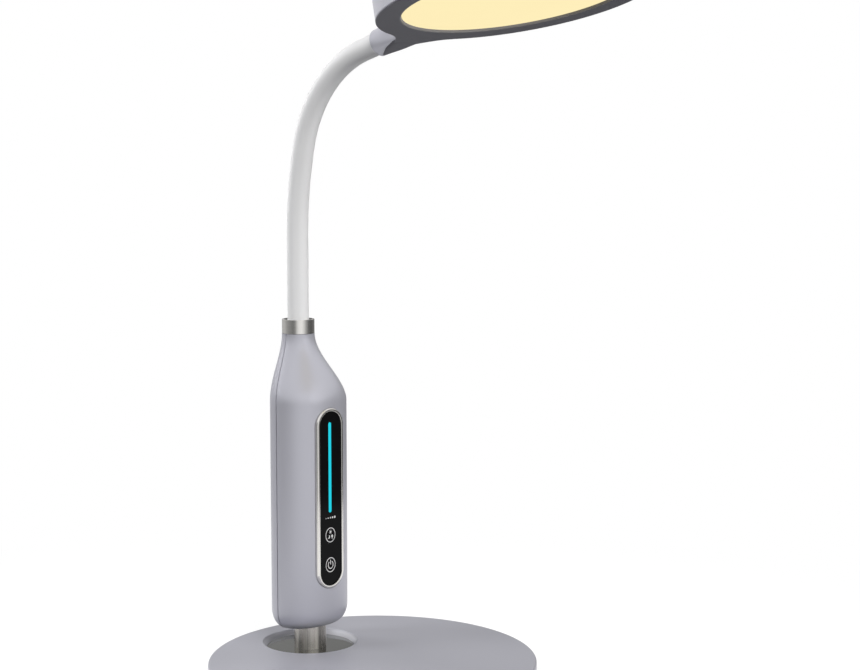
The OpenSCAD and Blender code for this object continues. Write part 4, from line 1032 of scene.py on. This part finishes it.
class LAMP_OT_marks(LampOperator, bpy.types.Operator):
    """Generic symbols of the two touch keys and the scale under the slider"""

    bl_idname = "lamp.marks"
    bl_label = "Panel marks"

    thick = 0.04 * MM

    def points(self, middle, radius, turns):
        """Points around a middle, turns in degrees."""
        return [middle + Vector((math.cos(a), math.sin(a))) * radius for a in map(math.radians, turns)]

    def ring(self, mesh, radius, line, start=0, end=360):
        """A ring or part of one, drawn as a band."""
        a = math.radians(start)
        inner, outer = radius - line / 2, radius + line / 2
        verts = [mesh.verts.new((r * math.cos(a), r * math.sin(a), 0)) for r in (inner, outer)]
        bmesh.ops.spin(mesh, geom=verts + [mesh.edges.new(verts)], cent=(0, 0, 0), axis=(0, 0, 1),
                       angle=math.radians(end - start), steps=round((end - start) / 7.5),
                       use_merge=end - start == 360)

    def bar(self, mesh, place, width, height, turn=0.0):
        made = bmesh.ops.create_grid(mesh, x_segments=1, y_segments=1, size=0.5)["verts"]
        size = Matrix.Diagonal((width, height, 1, 1))
        change = Matrix.Translation((*place, 0)) @ Matrix.Rotation(turn, 4, "Z") @ size
        bmesh.ops.transform(mesh, verts=made, matrix=change)

    def dot(self, mesh, place, radius):
        middle = Matrix.Translation((*place, 0))
        bmesh.ops.create_circle(mesh, cap_ends=True, radius=radius, segments=20, matrix=middle)

    def power(self, mesh, sizes):
        line = sizes.mark_line
        self.ring(mesh, sizes.mark_radius - line / 2, line)
        self.ring(mesh, 2.1 * MM, line * 1.1, start=125, end=415)
        self.bar(mesh, (0, 1.5 * MM), line * 1.1, 2.6 * MM)

    def mode(self, mesh, sizes):
        """A sun, a moon and a bulb in a ring."""
        line = sizes.mark_line
        self.ring(mesh, sizes.mark_radius - line / 2, line)
        sun = Vector((0, 1.75 * MM))
        self.dot(mesh, sun, 0.62 * MM)
        turns = [45 * i for i in range(8)]
        for turn, place in zip(turns, self.points(sun, 1.05 * MM, turns)):
            self.bar(mesh, place, 0.42 * MM, 0.22 * MM, math.radians(turn))
        moon = Vector((-1.45 * MM, -0.95 * MM))
        bite = moon + Vector((-0.62 * MM, 0.28 * MM))
        outline = self.points(moon, 1.05 * MM, [-150 + 12 * i for i in range(18)])
        outline += self.points(bite, 0.92 * MM, [50 - 10.5 * i for i in range(13)])
        mesh.faces.new([mesh.verts.new((*point, 0)) for point in outline])
        bulb = Vector((1.45 * MM, -0.75 * MM))
        self.dot(mesh, bulb, 0.82 * MM)
        self.bar(mesh, bulb + Vector((0, -1.05 * MM)), 0.8 * MM, 0.3 * MM)
        self.bar(mesh, bulb + Vector((0, -1.5 * MM)), 0.6 * MM, 0.26 * MM)

    def scale(self, mesh, sizes):
        for i in range(5):
            self.dot(mesh, ((i - 2) * 1.9 * MM, 0), (0.3 + 0.09 * i) * MM)

    def execute(self, context):
        sizes = context.scene.lamp_panel
        half = sizes.bezel_height / 2
        scale_y = half - sizes.slider_drop - sizes.slider_height - 3 * MM
        slim = Matrix.Diagonal((0.87, 1, 1, 1))
        for name, draw, height in (("power_mark", self.power, sizes.power_key - half),
                                   ("mode_mark", self.mode, sizes.mode_key - half),
                                   ("slider_scale", self.scale, scale_y)):
            mesh = bmesh.new()
            draw(mesh, sizes)
            bmesh.ops.recalc_face_normals(mesh, faces=mesh.faces)
            thicken(mesh, list(mesh.faces), (0, 0, self.thick))
            place = facing_front(PANEL_Y, PANEL_Z) @ Matrix.Translation((0, height, 0)) @ slim
            bmesh.ops.transform(mesh, verts=mesh.verts, matrix=place)
            mark = dress(as_object(mesh, name), "marks", "black_glass")
            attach(mark, "column")
        return {"FINISHED"}


class LAMP_OT_collar(LampOperator, bpy.types.Operator):
    """Metal collar at the foot of the gooseneck"""

    bl_idname = "lamp.collar"
    bl_label = "Collar"

    def execute(self, context):
        sizes = context.scene.lamp_neck
        column = context.scene.lamp_column
        low, top = LOW["neck_collar"].z, sizes.collar_top
        seat = column.top + FIT
        spigot = column.throat - column.wall - FIT
        bore = sizes.sleeve_radius + SLEEVE_FIT
        bore_floor = top - sizes.sleeve_seat - FIT
        mouth, mouth_floor = sizes.collar_mouth, top - sizes.collar_mouth_depth
        outer = sizes.collar_radius
        ease = 0.12 * MM
        profile = [(CORE, low), (spigot, low), (spigot, seat), (outer - ease, seat), (outer, seat + ease)]
        profile += arc((outer - ease, top - ease), ease, 0, 90, 4)
        profile += arc((mouth + ease / 2, top - ease / 2), ease / 2, 90, 180, 3)
        profile += [(mouth, mouth_floor), (bore, mouth_floor), (bore, bore_floor), (CORE, bore_floor)]
        collar = turned("collar_ring", profile, 96, Matrix.Translation((0, POST_Y + column.set_back, 0)))
        complete(collar, "collar", "chrome", "column", "neck_collar")
        return {"FINISHED"}


def neck_cuts(sizes, first, last):
    """Lengths along the neck at which its soft pieces are divided, midway between the joints."""
    _, _, hook_end = neck_ends(sizes)
    low = NECK_JOINTS[0]["pos_m"][2] - sizes.collar_top
    count = len(NECK_JOINTS)
    pitch = (hook_end - low) / (count - 1)
    return [first] + [low + pitch * (i + 0.5) for i in range(count - 1)] + [last]


def bend_with_neck(piece, sizes, start, end):
    """Bake a soft length's place into its mesh; the points at its ends are worked out but not used."""
    _, _, hook_end = neck_ends(sizes)
    start = max(start, 0.5 * MM)
    end = min(end, hook_end + sizes.tail - 0.2 * MM)
    ends = [neck_place(sizes, s).translation for s in (start, end)]
    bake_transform(piece)


class LAMP_OT_sleeve(LampOperator, bpy.types.Operator):
    """Soft sleeve of the gooseneck in lengths divided midway between the neck's joints"""

    bl_idname = "lamp.sleeve"
    bl_label = "Gooseneck sleeve"

    def execute(self, context):
        sizes = context.scene.lamp_neck
        _, _, hook_end = neck_ends(sizes)
        cuts = neck_cuts(sizes, -sizes.sleeve_seat, hook_end + sizes.tail + sizes.socket_depth)
        for i in range(len(NECK_JOINTS)):
            piece = self.length_of_hose(sizes, cuts[i], cuts[i + 1], f"sleeve_{i + 1:02d}")
            bend_with_neck(piece, sizes, cuts[i], cuts[i + 1])
            if i == 0:
                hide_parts("neck_sleeve")
        return {"FINISHED"}

    def length_of_hose(self, sizes, start, end, name):
        steps = 14
        places = [neck_place(sizes, start + (end - start) * i / steps) for i in range(steps + 1)]
        bore = (sizes.sleeve_radius - sizes.sleeve_wall) / sizes.sleeve_radius
        draw_in = Matrix.Diagonal((bore, bore, 1, 1))
        mesh = bmesh.new()
        first = draw_ring(mesh, sizes.sleeve_radius, 48, places[0])
        ring = pull_along(mesh, first, places)
        ring = pull(mesh, ring, places[-1] @ draw_in @ places[-1].inverted())
        ring = pull_along(mesh, ring, places[::-1])
        bridge(mesh, first, ring)
        piece = as_object(mesh, name)
        soften(piece)
        return dress(piece, "sleeve", "soft_sleeve")


# Routes of the wires in the middle plane, as (y, z) in millimetres: from the inlet up through the post
# to the board, and from the board up to the neck
FEED_ROUTE = ((74.8, 11.3), (74.0, 11.3), (73.2, 10.9), (71.6, 8.1), (68.4, 5.7), (63.9, 3.83), (56.6, 3.3),
              (53.1, 4.37), (51.5, 7.8), (51.5, 17.0), (51.5, 30.5), (51.5, 60.0), (49.9, 66.4), (46.3, 72.8),
              (42.7, 76.0), (41.2, 76.0))
LEAD_ROUTE = ((41.2, 145.9), (43.0, 145.9), (46.7, 148.5), (52.3, 157.8), (57.8, 167.0), (59.7, 172.3))


def between(p, q, r, s, t):
    """Value at the share t from q to r on a smooth curve, led by their neighbours p and s."""
    lean, sag, turn = r - p, 2 * p - 5 * q + 4 * r - s, 3 * q - p - 3 * r + s
    return q + (lean * t + sag * t ** 2 + turn * t ** 3) / 2


def smooth_route(points, parts=4):
    """Points of a smooth line through the given points."""
    line = []
    padded = (points[0], *points, points[-1])
    for around in zip(padded, padded[1:], padded[2:], padded[3:]):
        for t in (i / parts for i in range(parts)):
            line.append([between(*values, t) for values in zip(*around)])
    return line + [points[-1]]


def route_places(points):
    """Matrices along a route in the middle plane, each with its Z axis along the route."""
    line = [Vector((0, y, z)) * MM for y, z in smooth_route(points)]
    places = []
    for i, point in enumerate(line):
        ahead = line[min(i + 1, len(line) - 1)] - line[max(i - 1, 0)]
        places.append(Matrix.Translation(point) @ Matrix.Rotation(math.atan2(-ahead.y, ahead.z), 4, "X"))
    return places


class LAMP_OT_wires(LampOperator, bpy.types.Operator):
    """Twisted pairs of wires from the inlet to the board, and from the board through the neck to the head"""

    bl_idname = "lamp.wires"
    bl_label = "Wires"

    def execute(self, context):
        feed = self.pair(route_places(FEED_ROUTE), "feed_wires", 0.0)
        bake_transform(feed)
        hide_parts("power_wires")
        sizes = context.scene.lamp_neck
        _, _, hook_end = neck_ends(sizes)
        lead = route_places(LEAD_ROUTE)
        inner_end = hook_end + sizes.tail + sizes.wire_reach
        cuts = neck_cuts(sizes, lead[-1].translation.z - sizes.collar_top, inner_end)
        for i in range(len(NECK_JOINTS)):
            steps = 8 if i else 24
            stops = [cuts[i] + (cuts[i + 1] - cuts[i]) * k / steps for k in range(steps + 1)]
            places = [neck_place(sizes, s) for s in stops]
            done = stops[0]
            if i == 0:
                places = lead[:-1] + places
                done -= sum((b.translation - a.translation).length for a, b in zip(lead, lead[1:]))
            piece = self.pair(places, f"neck_wires_{i + 1:02d}", done)
            bend_with_neck(piece, sizes, cuts[i], cuts[i + 1])
            if i == 0:
                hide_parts("neck_wires")
        return {"FINISHED"}

    def pair(self, places, name, done):
        """Two insulated wires, twisted about each other along the places."""
        lay = 22 * MM
        radius = 0.6 * MM
        twisted = []
        for before, place in zip([places[0], *places], places):
            done += (place.translation - before.translation).length
            twisted.append(place @ Matrix.Rotation(TURN * done / lay, 4, "Z"))
        mesh = bmesh.new()
        for side in (-1, 1):
            first = draw_ring(mesh, radius, 10, twisted[0] @ Matrix.Translation((side * radius, 0, 0)))
            bmesh.ops.edgeloop_fill(mesh, edges=first)
            bmesh.ops.edgeloop_fill(mesh, edges=pull_along(mesh, first, twisted))
        piece = as_object(mesh, name)
        soften(piece)
        return dress(piece, "wire", "wire_insulation")


def fillet_centre(sizes):
    """Centre of the right-hand fillet between the head's disc and neck, across and to the rear."""
    side = sizes.neck_half_width + sizes.fillet
    return side, math.sqrt((sizes.radius + sizes.fillet) ** 2 - side ** 2)


def half_width(sizes, y):
    """Half width of the head's neck at a distance behind the head's middle."""
    side, end = fillet_centre(sizes)
    mouth = sizes.radius + sizes.neck_length
    if y < end:
        return side - math.sqrt(sizes.fillet ** 2 - (end - y) ** 2)
    t = min(1, (y - end) / (mouth - end))
    return sizes.neck_half_width + (sizes.socket_radius - sizes.neck_half_width) * ease_in_out(t)


def along_neck(sizes):
    """Frame at the neck's mouth whose Z axis runs towards the disc."""
    mouth = Matrix.Translation((0, sizes.radius + sizes.neck_length, sizes.neck_axis))
    return mouth @ Matrix.Rotation(math.pi / 2 - sizes.droop, 4, "X")


def neck_form(sizes):
    """Sections from the socket's round mouth to the wide, boxy foot inside the disc's wall."""
    stops = 36
    reach = sizes.neck_length + 3.6 * MM
    foot_half_height = 6.1 * MM
    mesh = bmesh.new()
    rings = []
    for i in range(stops + 1):
        run = reach * i / stops
        soft = ease_in_out(min(1, i / stops * 1.15))
        over = 2 + 1.6 * soft
        under = 2 + 6 * soft
        wide = half_width(sizes, sizes.radius + sizes.neck_length - run)
        high = sizes.socket_radius + (foot_half_height - sizes.socket_radius) * soft
        verts = bmesh.ops.create_circle(mesh, radius=1, segments=64)["verts"]
        for vert in verts:
            c, s = vert.co.x, vert.co.y
            box = over if s > 0 else under
            vert.co.x = wide * math.copysign(abs(c) ** (2 / box), c)
            vert.co.y = high * math.copysign(abs(s) ** (2 / box), s)
        bmesh.ops.transform(mesh, verts=verts, matrix=along_neck(sizes) @ Matrix.Translation((0, 0, run)))
        rings.append(loop_edges(verts))
    loft(mesh, rings)
    return mesh


def under_form(sizes, start, low):
    """Room under the parting surface of housing and cover: flat over the tail, then sloping to the mouth."""
    tail_end = sizes.radius + sizes.tail
    far = sizes.radius + sizes.neck_length + 5 * MM
    drop = (far - tail_end) * math.tan(sizes.slope)
    deep = -40 * MM
    half = 150 * MM
    outline = ((start, low), (tail_end, low), (far, low - drop), (far, deep), (start, deep))
    return slab([(-half, y, z) for y, z in outline], (2 * half, 0, 0))


class LAMP_OT_housing(LampOperator, bpy.types.Operator):
    """Head housing: disc cap and the neck that runs off it into the socket"""

    bl_idname = "lamp.housing"
    bl_label = "Head housing"

    def cap(self, sizes, low):
        ease = 0.3 * MM
        radius, top = sizes.radius, sizes.thickness
        inner, ceiling = radius - sizes.wall, top - sizes.wall
        profile = [(0, top)] + arc((radius - sizes.edge, top - sizes.edge), sizes.edge, 90, 0, 10)
        profile += [(radius, low + ease), (radius - ease, low), (inner, low), (inner, ceiling), (0, ceiling)]
        return turned("head_cap", profile, 160, closed=False)

    def socket(self, sizes, neck):
        """Room for the sleeve, the ferrule behind it and the wires."""
        bore = neck.sleeve_radius + SLEEVE_FIT
        seat = neck.socket_depth + FIT
        ferrule_end = seat + 9.1 * MM
        wire_way = 1.9 * MM
        ease = 0.3 * MM
        outside, inside = -5 * MM, 40 * MM
        profile = [(0, outside), (bore + ease, outside), (bore + ease, 0), (bore, ease), (bore, seat),
                   (CORE, seat), (CORE, ferrule_end), (wire_way, ferrule_end), (wire_way, inside),
                   (0, inside)]
        return turned("socket_form", profile, 64, along_neck(sizes), closed=False)

    def execute(self, context):
        sizes = context.scene.lamp_head
        low = sizes.lip + PARTING
        cap = self.cap(sizes, low)
        combine(cap, as_object(neck_form(sizes), "neck_form"), "UNION")
        combine(cap, self.socket(sizes, context.scene.lamp_neck), "DIFFERENCE")
        combine(cap, as_object(under_form(sizes, 0, low), "under_form"), "DIFFERENCE")
        cap.data.transform(in_head(sizes))
        complete(cap, "silver", "silver_plastic", "head", "head_housing", sharp=38)
        return {"FINISHED"}


class LAMP_OT_underside(LampOperator, bpy.types.Operator):
    """Ring and tail under the head, and the lit diffuser"""

    bl_idname = "lamp.underside"
    bl_label = "Head underside"

    def execute(self, context):
        sizes = context.scene.lamp_head
        place = in_head(sizes)
        ease = 0.25 * MM
        ring = self.ring(sizes, ease)
        combine(ring, as_object(self.tail(sizes), "tail_plate"), "UNION")
        # The tongue is a dark sheet of painted shade along the neck's underside to the mouth: it stands for
        # the shade on the housing there
        tongue = as_object(neck_form(sizes), "tongue_form")
        room = under_form(sizes, sizes.radius + 1.5 * MM, sizes.lip)
        combine(tongue, as_object(room, "tongue_room"), "INTERSECT")
        combine(ring, tongue, "UNION")
        ring.data.transform(place)
        complete(ring, "underside_painted_shade", "underside_plastic", "head", "head_bottom_cover", sharp=12)

        edge = sizes.light_radius + DIFFUSER_RIM
        low, high = sizes.ledge, sizes.ledge + DIFFUSER_DEPTH
        profile = [(0, low), (edge - ease, low), (edge, low + ease), (edge, high), (0, high)]
        light = turned("light_plate", profile, 128, place, closed=False)
        complete(light, "light", "diffuser", "head", "diffuser")
        return {"FINISHED"}

    def ring(self, sizes, ease):
        radius, lip, ledge, opening = sizes.radius, sizes.lip, sizes.ledge, sizes.light_radius
        seat = opening + DIFFUSER_RIM + FIT
        plate = ledge + 0.6 * MM
        # Upright wall that fits inside the housing
        rim = radius - sizes.wall - FIT
        rim_inner, rim_top = rim - 1.5 * MM, plate + 1.2 * MM
        profile = [(opening + sizes.chamfer, sizes.cone_rise), (opening, ledge), (seat, ledge), (seat, plate),
                   (rim_inner, plate), (rim_inner, rim_top), (rim, rim_top), (rim, lip), (radius - ease, lip),
                   (radius, lip - ease), (radius, ease), (radius - ease, 0), (radius - sizes.land, 0)]
        return turned("ring_cover", profile, 160)

    def tail(self, sizes):
        """Flat plate between the fillets that run off the disc, narrower towards its end."""
        side, end = fillet_centre(sizes)
        turn = 90 - math.degrees(math.asin(side / (sizes.radius + sizes.fillet)))
        tip = sizes.radius + sizes.tail
        right = [(side - sizes.fillet * math.cos(a), end - sizes.fillet * math.sin(a))
                 for a in [math.radians(turn * (1 - i / 18)) for i in range(19)]]
        right = [(x, y) for x, y in right if y < tip - 0.3 * MM]
        right += [(right[-1][0] - 0.25 * MM, tip)]
        right = [(x * (1 - 0.2 * max(0, (y - sizes.radius) / sizes.tail) ** 2), y) for x, y in right]
        inner = sizes.radius - sizes.land / 2
        spread = math.atan2(*right[0])
        inside = [(inner * math.sin(a), inner * math.cos(a))
                  for a in [-spread + 2 * spread * i / 16 for i in range(17)]]
        points = inside + right + [(-x, y) for x, y in reversed(right)]
        return slab([(x, y, 0) for x, y in points], (0, 0, sizes.lip))


class LAMP_OT_inlet(LampOperator, bpy.types.Operator):
    """Power socket at the rear of the base"""

    bl_idname = "lamp.inlet"
    bl_label = "Power socket"

    def execute(self, context):
        sizes = context.scene.lamp_base
        back = HIGH["power_jack"].y
        depth = back - LOW["power_jack"].y
        outer = sizes.jack_flange
        flange = 0.8 * MM
        ease = 0.2 * MM
        bore, bore_floor = 3.2 * MM, 10.3 * MM
        pin_hole, pin_floor = 1.1 * MM, depth - 1 * MM
        profile = [(bore + ease, 0), (outer - ease, 0), (outer, ease), (outer, flange), (JACK_NOSE, flange),
                   (JACK_NOSE, depth), (0, depth), (0, pin_floor), (pin_hole, pin_floor),
                   (pin_hole, bore_floor), (bore, bore_floor), (bore, ease)]
        socket = turned("power_socket", profile, 64, facing_front(back, sizes.jack_height))
        complete(socket, "black", "black_plastic", "base", "power_jack")

        tip = HIGH["jack_pin"].y
        reach = tip - LOW["jack_pin"].y
        pin, rounding = 1 * MM, 0.4 * MM
        profile = [(0, 0)] + arc((pin - rounding, rounding), rounding, -90, 0, 4) + [(pin, reach), (0, reach)]
        contact = turned("contact_pin", profile, 32, facing_front(tip, sizes.jack_height), closed=False)
        complete(contact, "brass", "brass", "base", "jack_pin")
        return {"FINISHED"}


class LAMP_OT_screws(LampOperator, bpy.types.Operator):
    """Column screws with cross recesses, seen in the rear shell's wells"""

    bl_idname = "lamp.screws"
    bl_label = "Column screws"

    def execute(self, context):
        head, crown, shank = 2.8 * MM, 1.1 * MM, 1.45 * MM
        tip = LOW["body_screws"].y - POST_Y
        edge, top = SCREW_SEAT + 0.6 * MM, SCREW_SEAT + 1.7 * MM
        recess = Matrix.Diagonal((3.0 * MM, 0.7 * MM, 1.8 * MM, 1))
        profile = [(0, tip), (shank * 0.4, tip), (shank, tip + 1.5 * MM), (shank, SCREW_SEAT),
                   (head, SCREW_SEAT), (head, edge)]
        profile += arc((head - crown, edge), crown, 0, 90, 5) + [(0, top)]
        form = turned("screw_form", profile, 40, closed=False)
        for turn in (0, math.pi / 2):
            mesh = bmesh.new()
            place = Matrix.Translation((0, 0, top)) @ Matrix.Rotation(turn, 4, "Z")
            bmesh.ops.create_cube(mesh, size=1, matrix=place @ recess)
            combine(form, as_object(mesh, "recess_form"), "DIFFERENCE")
        mesh = bmesh.new()
        for x, z in screw_spots(context):
            known = set(mesh.verts)
            mesh.from_mesh(form.data)
            fresh = [vert for vert in mesh.verts if vert not in known]
            bmesh.ops.transform(mesh, verts=fresh, matrix=facing_rear(x, z))
        bpy.data.objects.remove(form)
        complete(as_object(mesh, "column_screws"), "steel", "steel", "column", "body_screws")
        return {"FINISHED"}


class LAMP_OT_inner(LampOperator, bpy.types.Operator):
    """Finishes of the CAD pieces that show as they are, inside and underneath"""

    bl_idname = "lamp.inner"
    bl_label = "Inner pieces"

    def execute(self, context):
        looks = {
            "floor": ["base_floor"],
            "foam": ["base_pad"],
            "steel": ["ballast_plate", "base_screws", "stop_pins", "stop_washer", "post_nut", "neck_root",
                      "upper_ferrule", "led_screws",
                      *[name for name in frame["nodes"] if name.startswith("neck_link_")]],
            "post": ["jack_nut", "touch_springs"],
            "white": ["swivel_bush", "led_connector", "led_board"],
            "green": ["control_board"],
            "phosphor": ["slider_leds", "led_chips"],
        }
        for key, names in looks.items():
            for name in names:
                data = frame["nodes"][name].data
                data.materials.clear()
                data.materials.append(finish_named(key))
        return {"FINISHED"}


class LAMP_PT_pieces(bpy.types.Panel):
    """Buttons that build the lamp, and its sizes"""

    bl_label = "Desk Lamp"
    bl_idname = "LAMP_PT_pieces"
    bl_space_type = "VIEW_3D"
    bl_region_type = "UI"
    bl_category = "Desk Lamp"

    def draw(self, context):
        for operator in OPERATORS:
            self.layout.operator(operator.bl_idname)
        for name in GROUPS:
            box = self.layout.box()
            group = getattr(context.scene, name)
            for key in group.bl_rna.properties.keys():
                if key not in {"rna_type", "name"}:
                    box.prop(group, key)


GROUPS = {
    "lamp_base": LampBaseSizes,
    "lamp_column": LampColumnSizes,
    "lamp_panel": LampPanelSizes,
    "lamp_neck": LampNeckSizes,
    "lamp_head": LampHeadSizes,
    "lamp_finishes": LampFinishes,
}
OPERATORS = (LAMP_OT_stage, LAMP_OT_base, LAMP_OT_swivel, LAMP_OT_column, LAMP_OT_panel, LAMP_OT_marks,
             LAMP_OT_collar, LAMP_OT_sleeve, LAMP_OT_wires, LAMP_OT_housing, LAMP_OT_underside, LAMP_OT_inlet,
             LAMP_OT_screws, LAMP_OT_inner)
CLASSES = (*GROUPS.values(), *OPERATORS, LAMP_PT_pieces)


def register():
    for kind in CLASSES:
        bpy.utils.register_class(kind)
    for name, kind in GROUPS.items():
        setattr(bpy.types.Scene, name, bpy.props.PointerProperty(type=kind))


def unregister():
    for name in GROUPS:
        delattr(bpy.types.Scene, name)
    for kind in reversed(CLASSES):
        bpy.utils.unregister_class(kind)


def main():
    register()
    for operator in OPERATORS:
        group, name = operator.bl_idname.split(".")
        getattr(getattr(bpy.ops, group), name)()


if __name__ == "__main__":
    main()
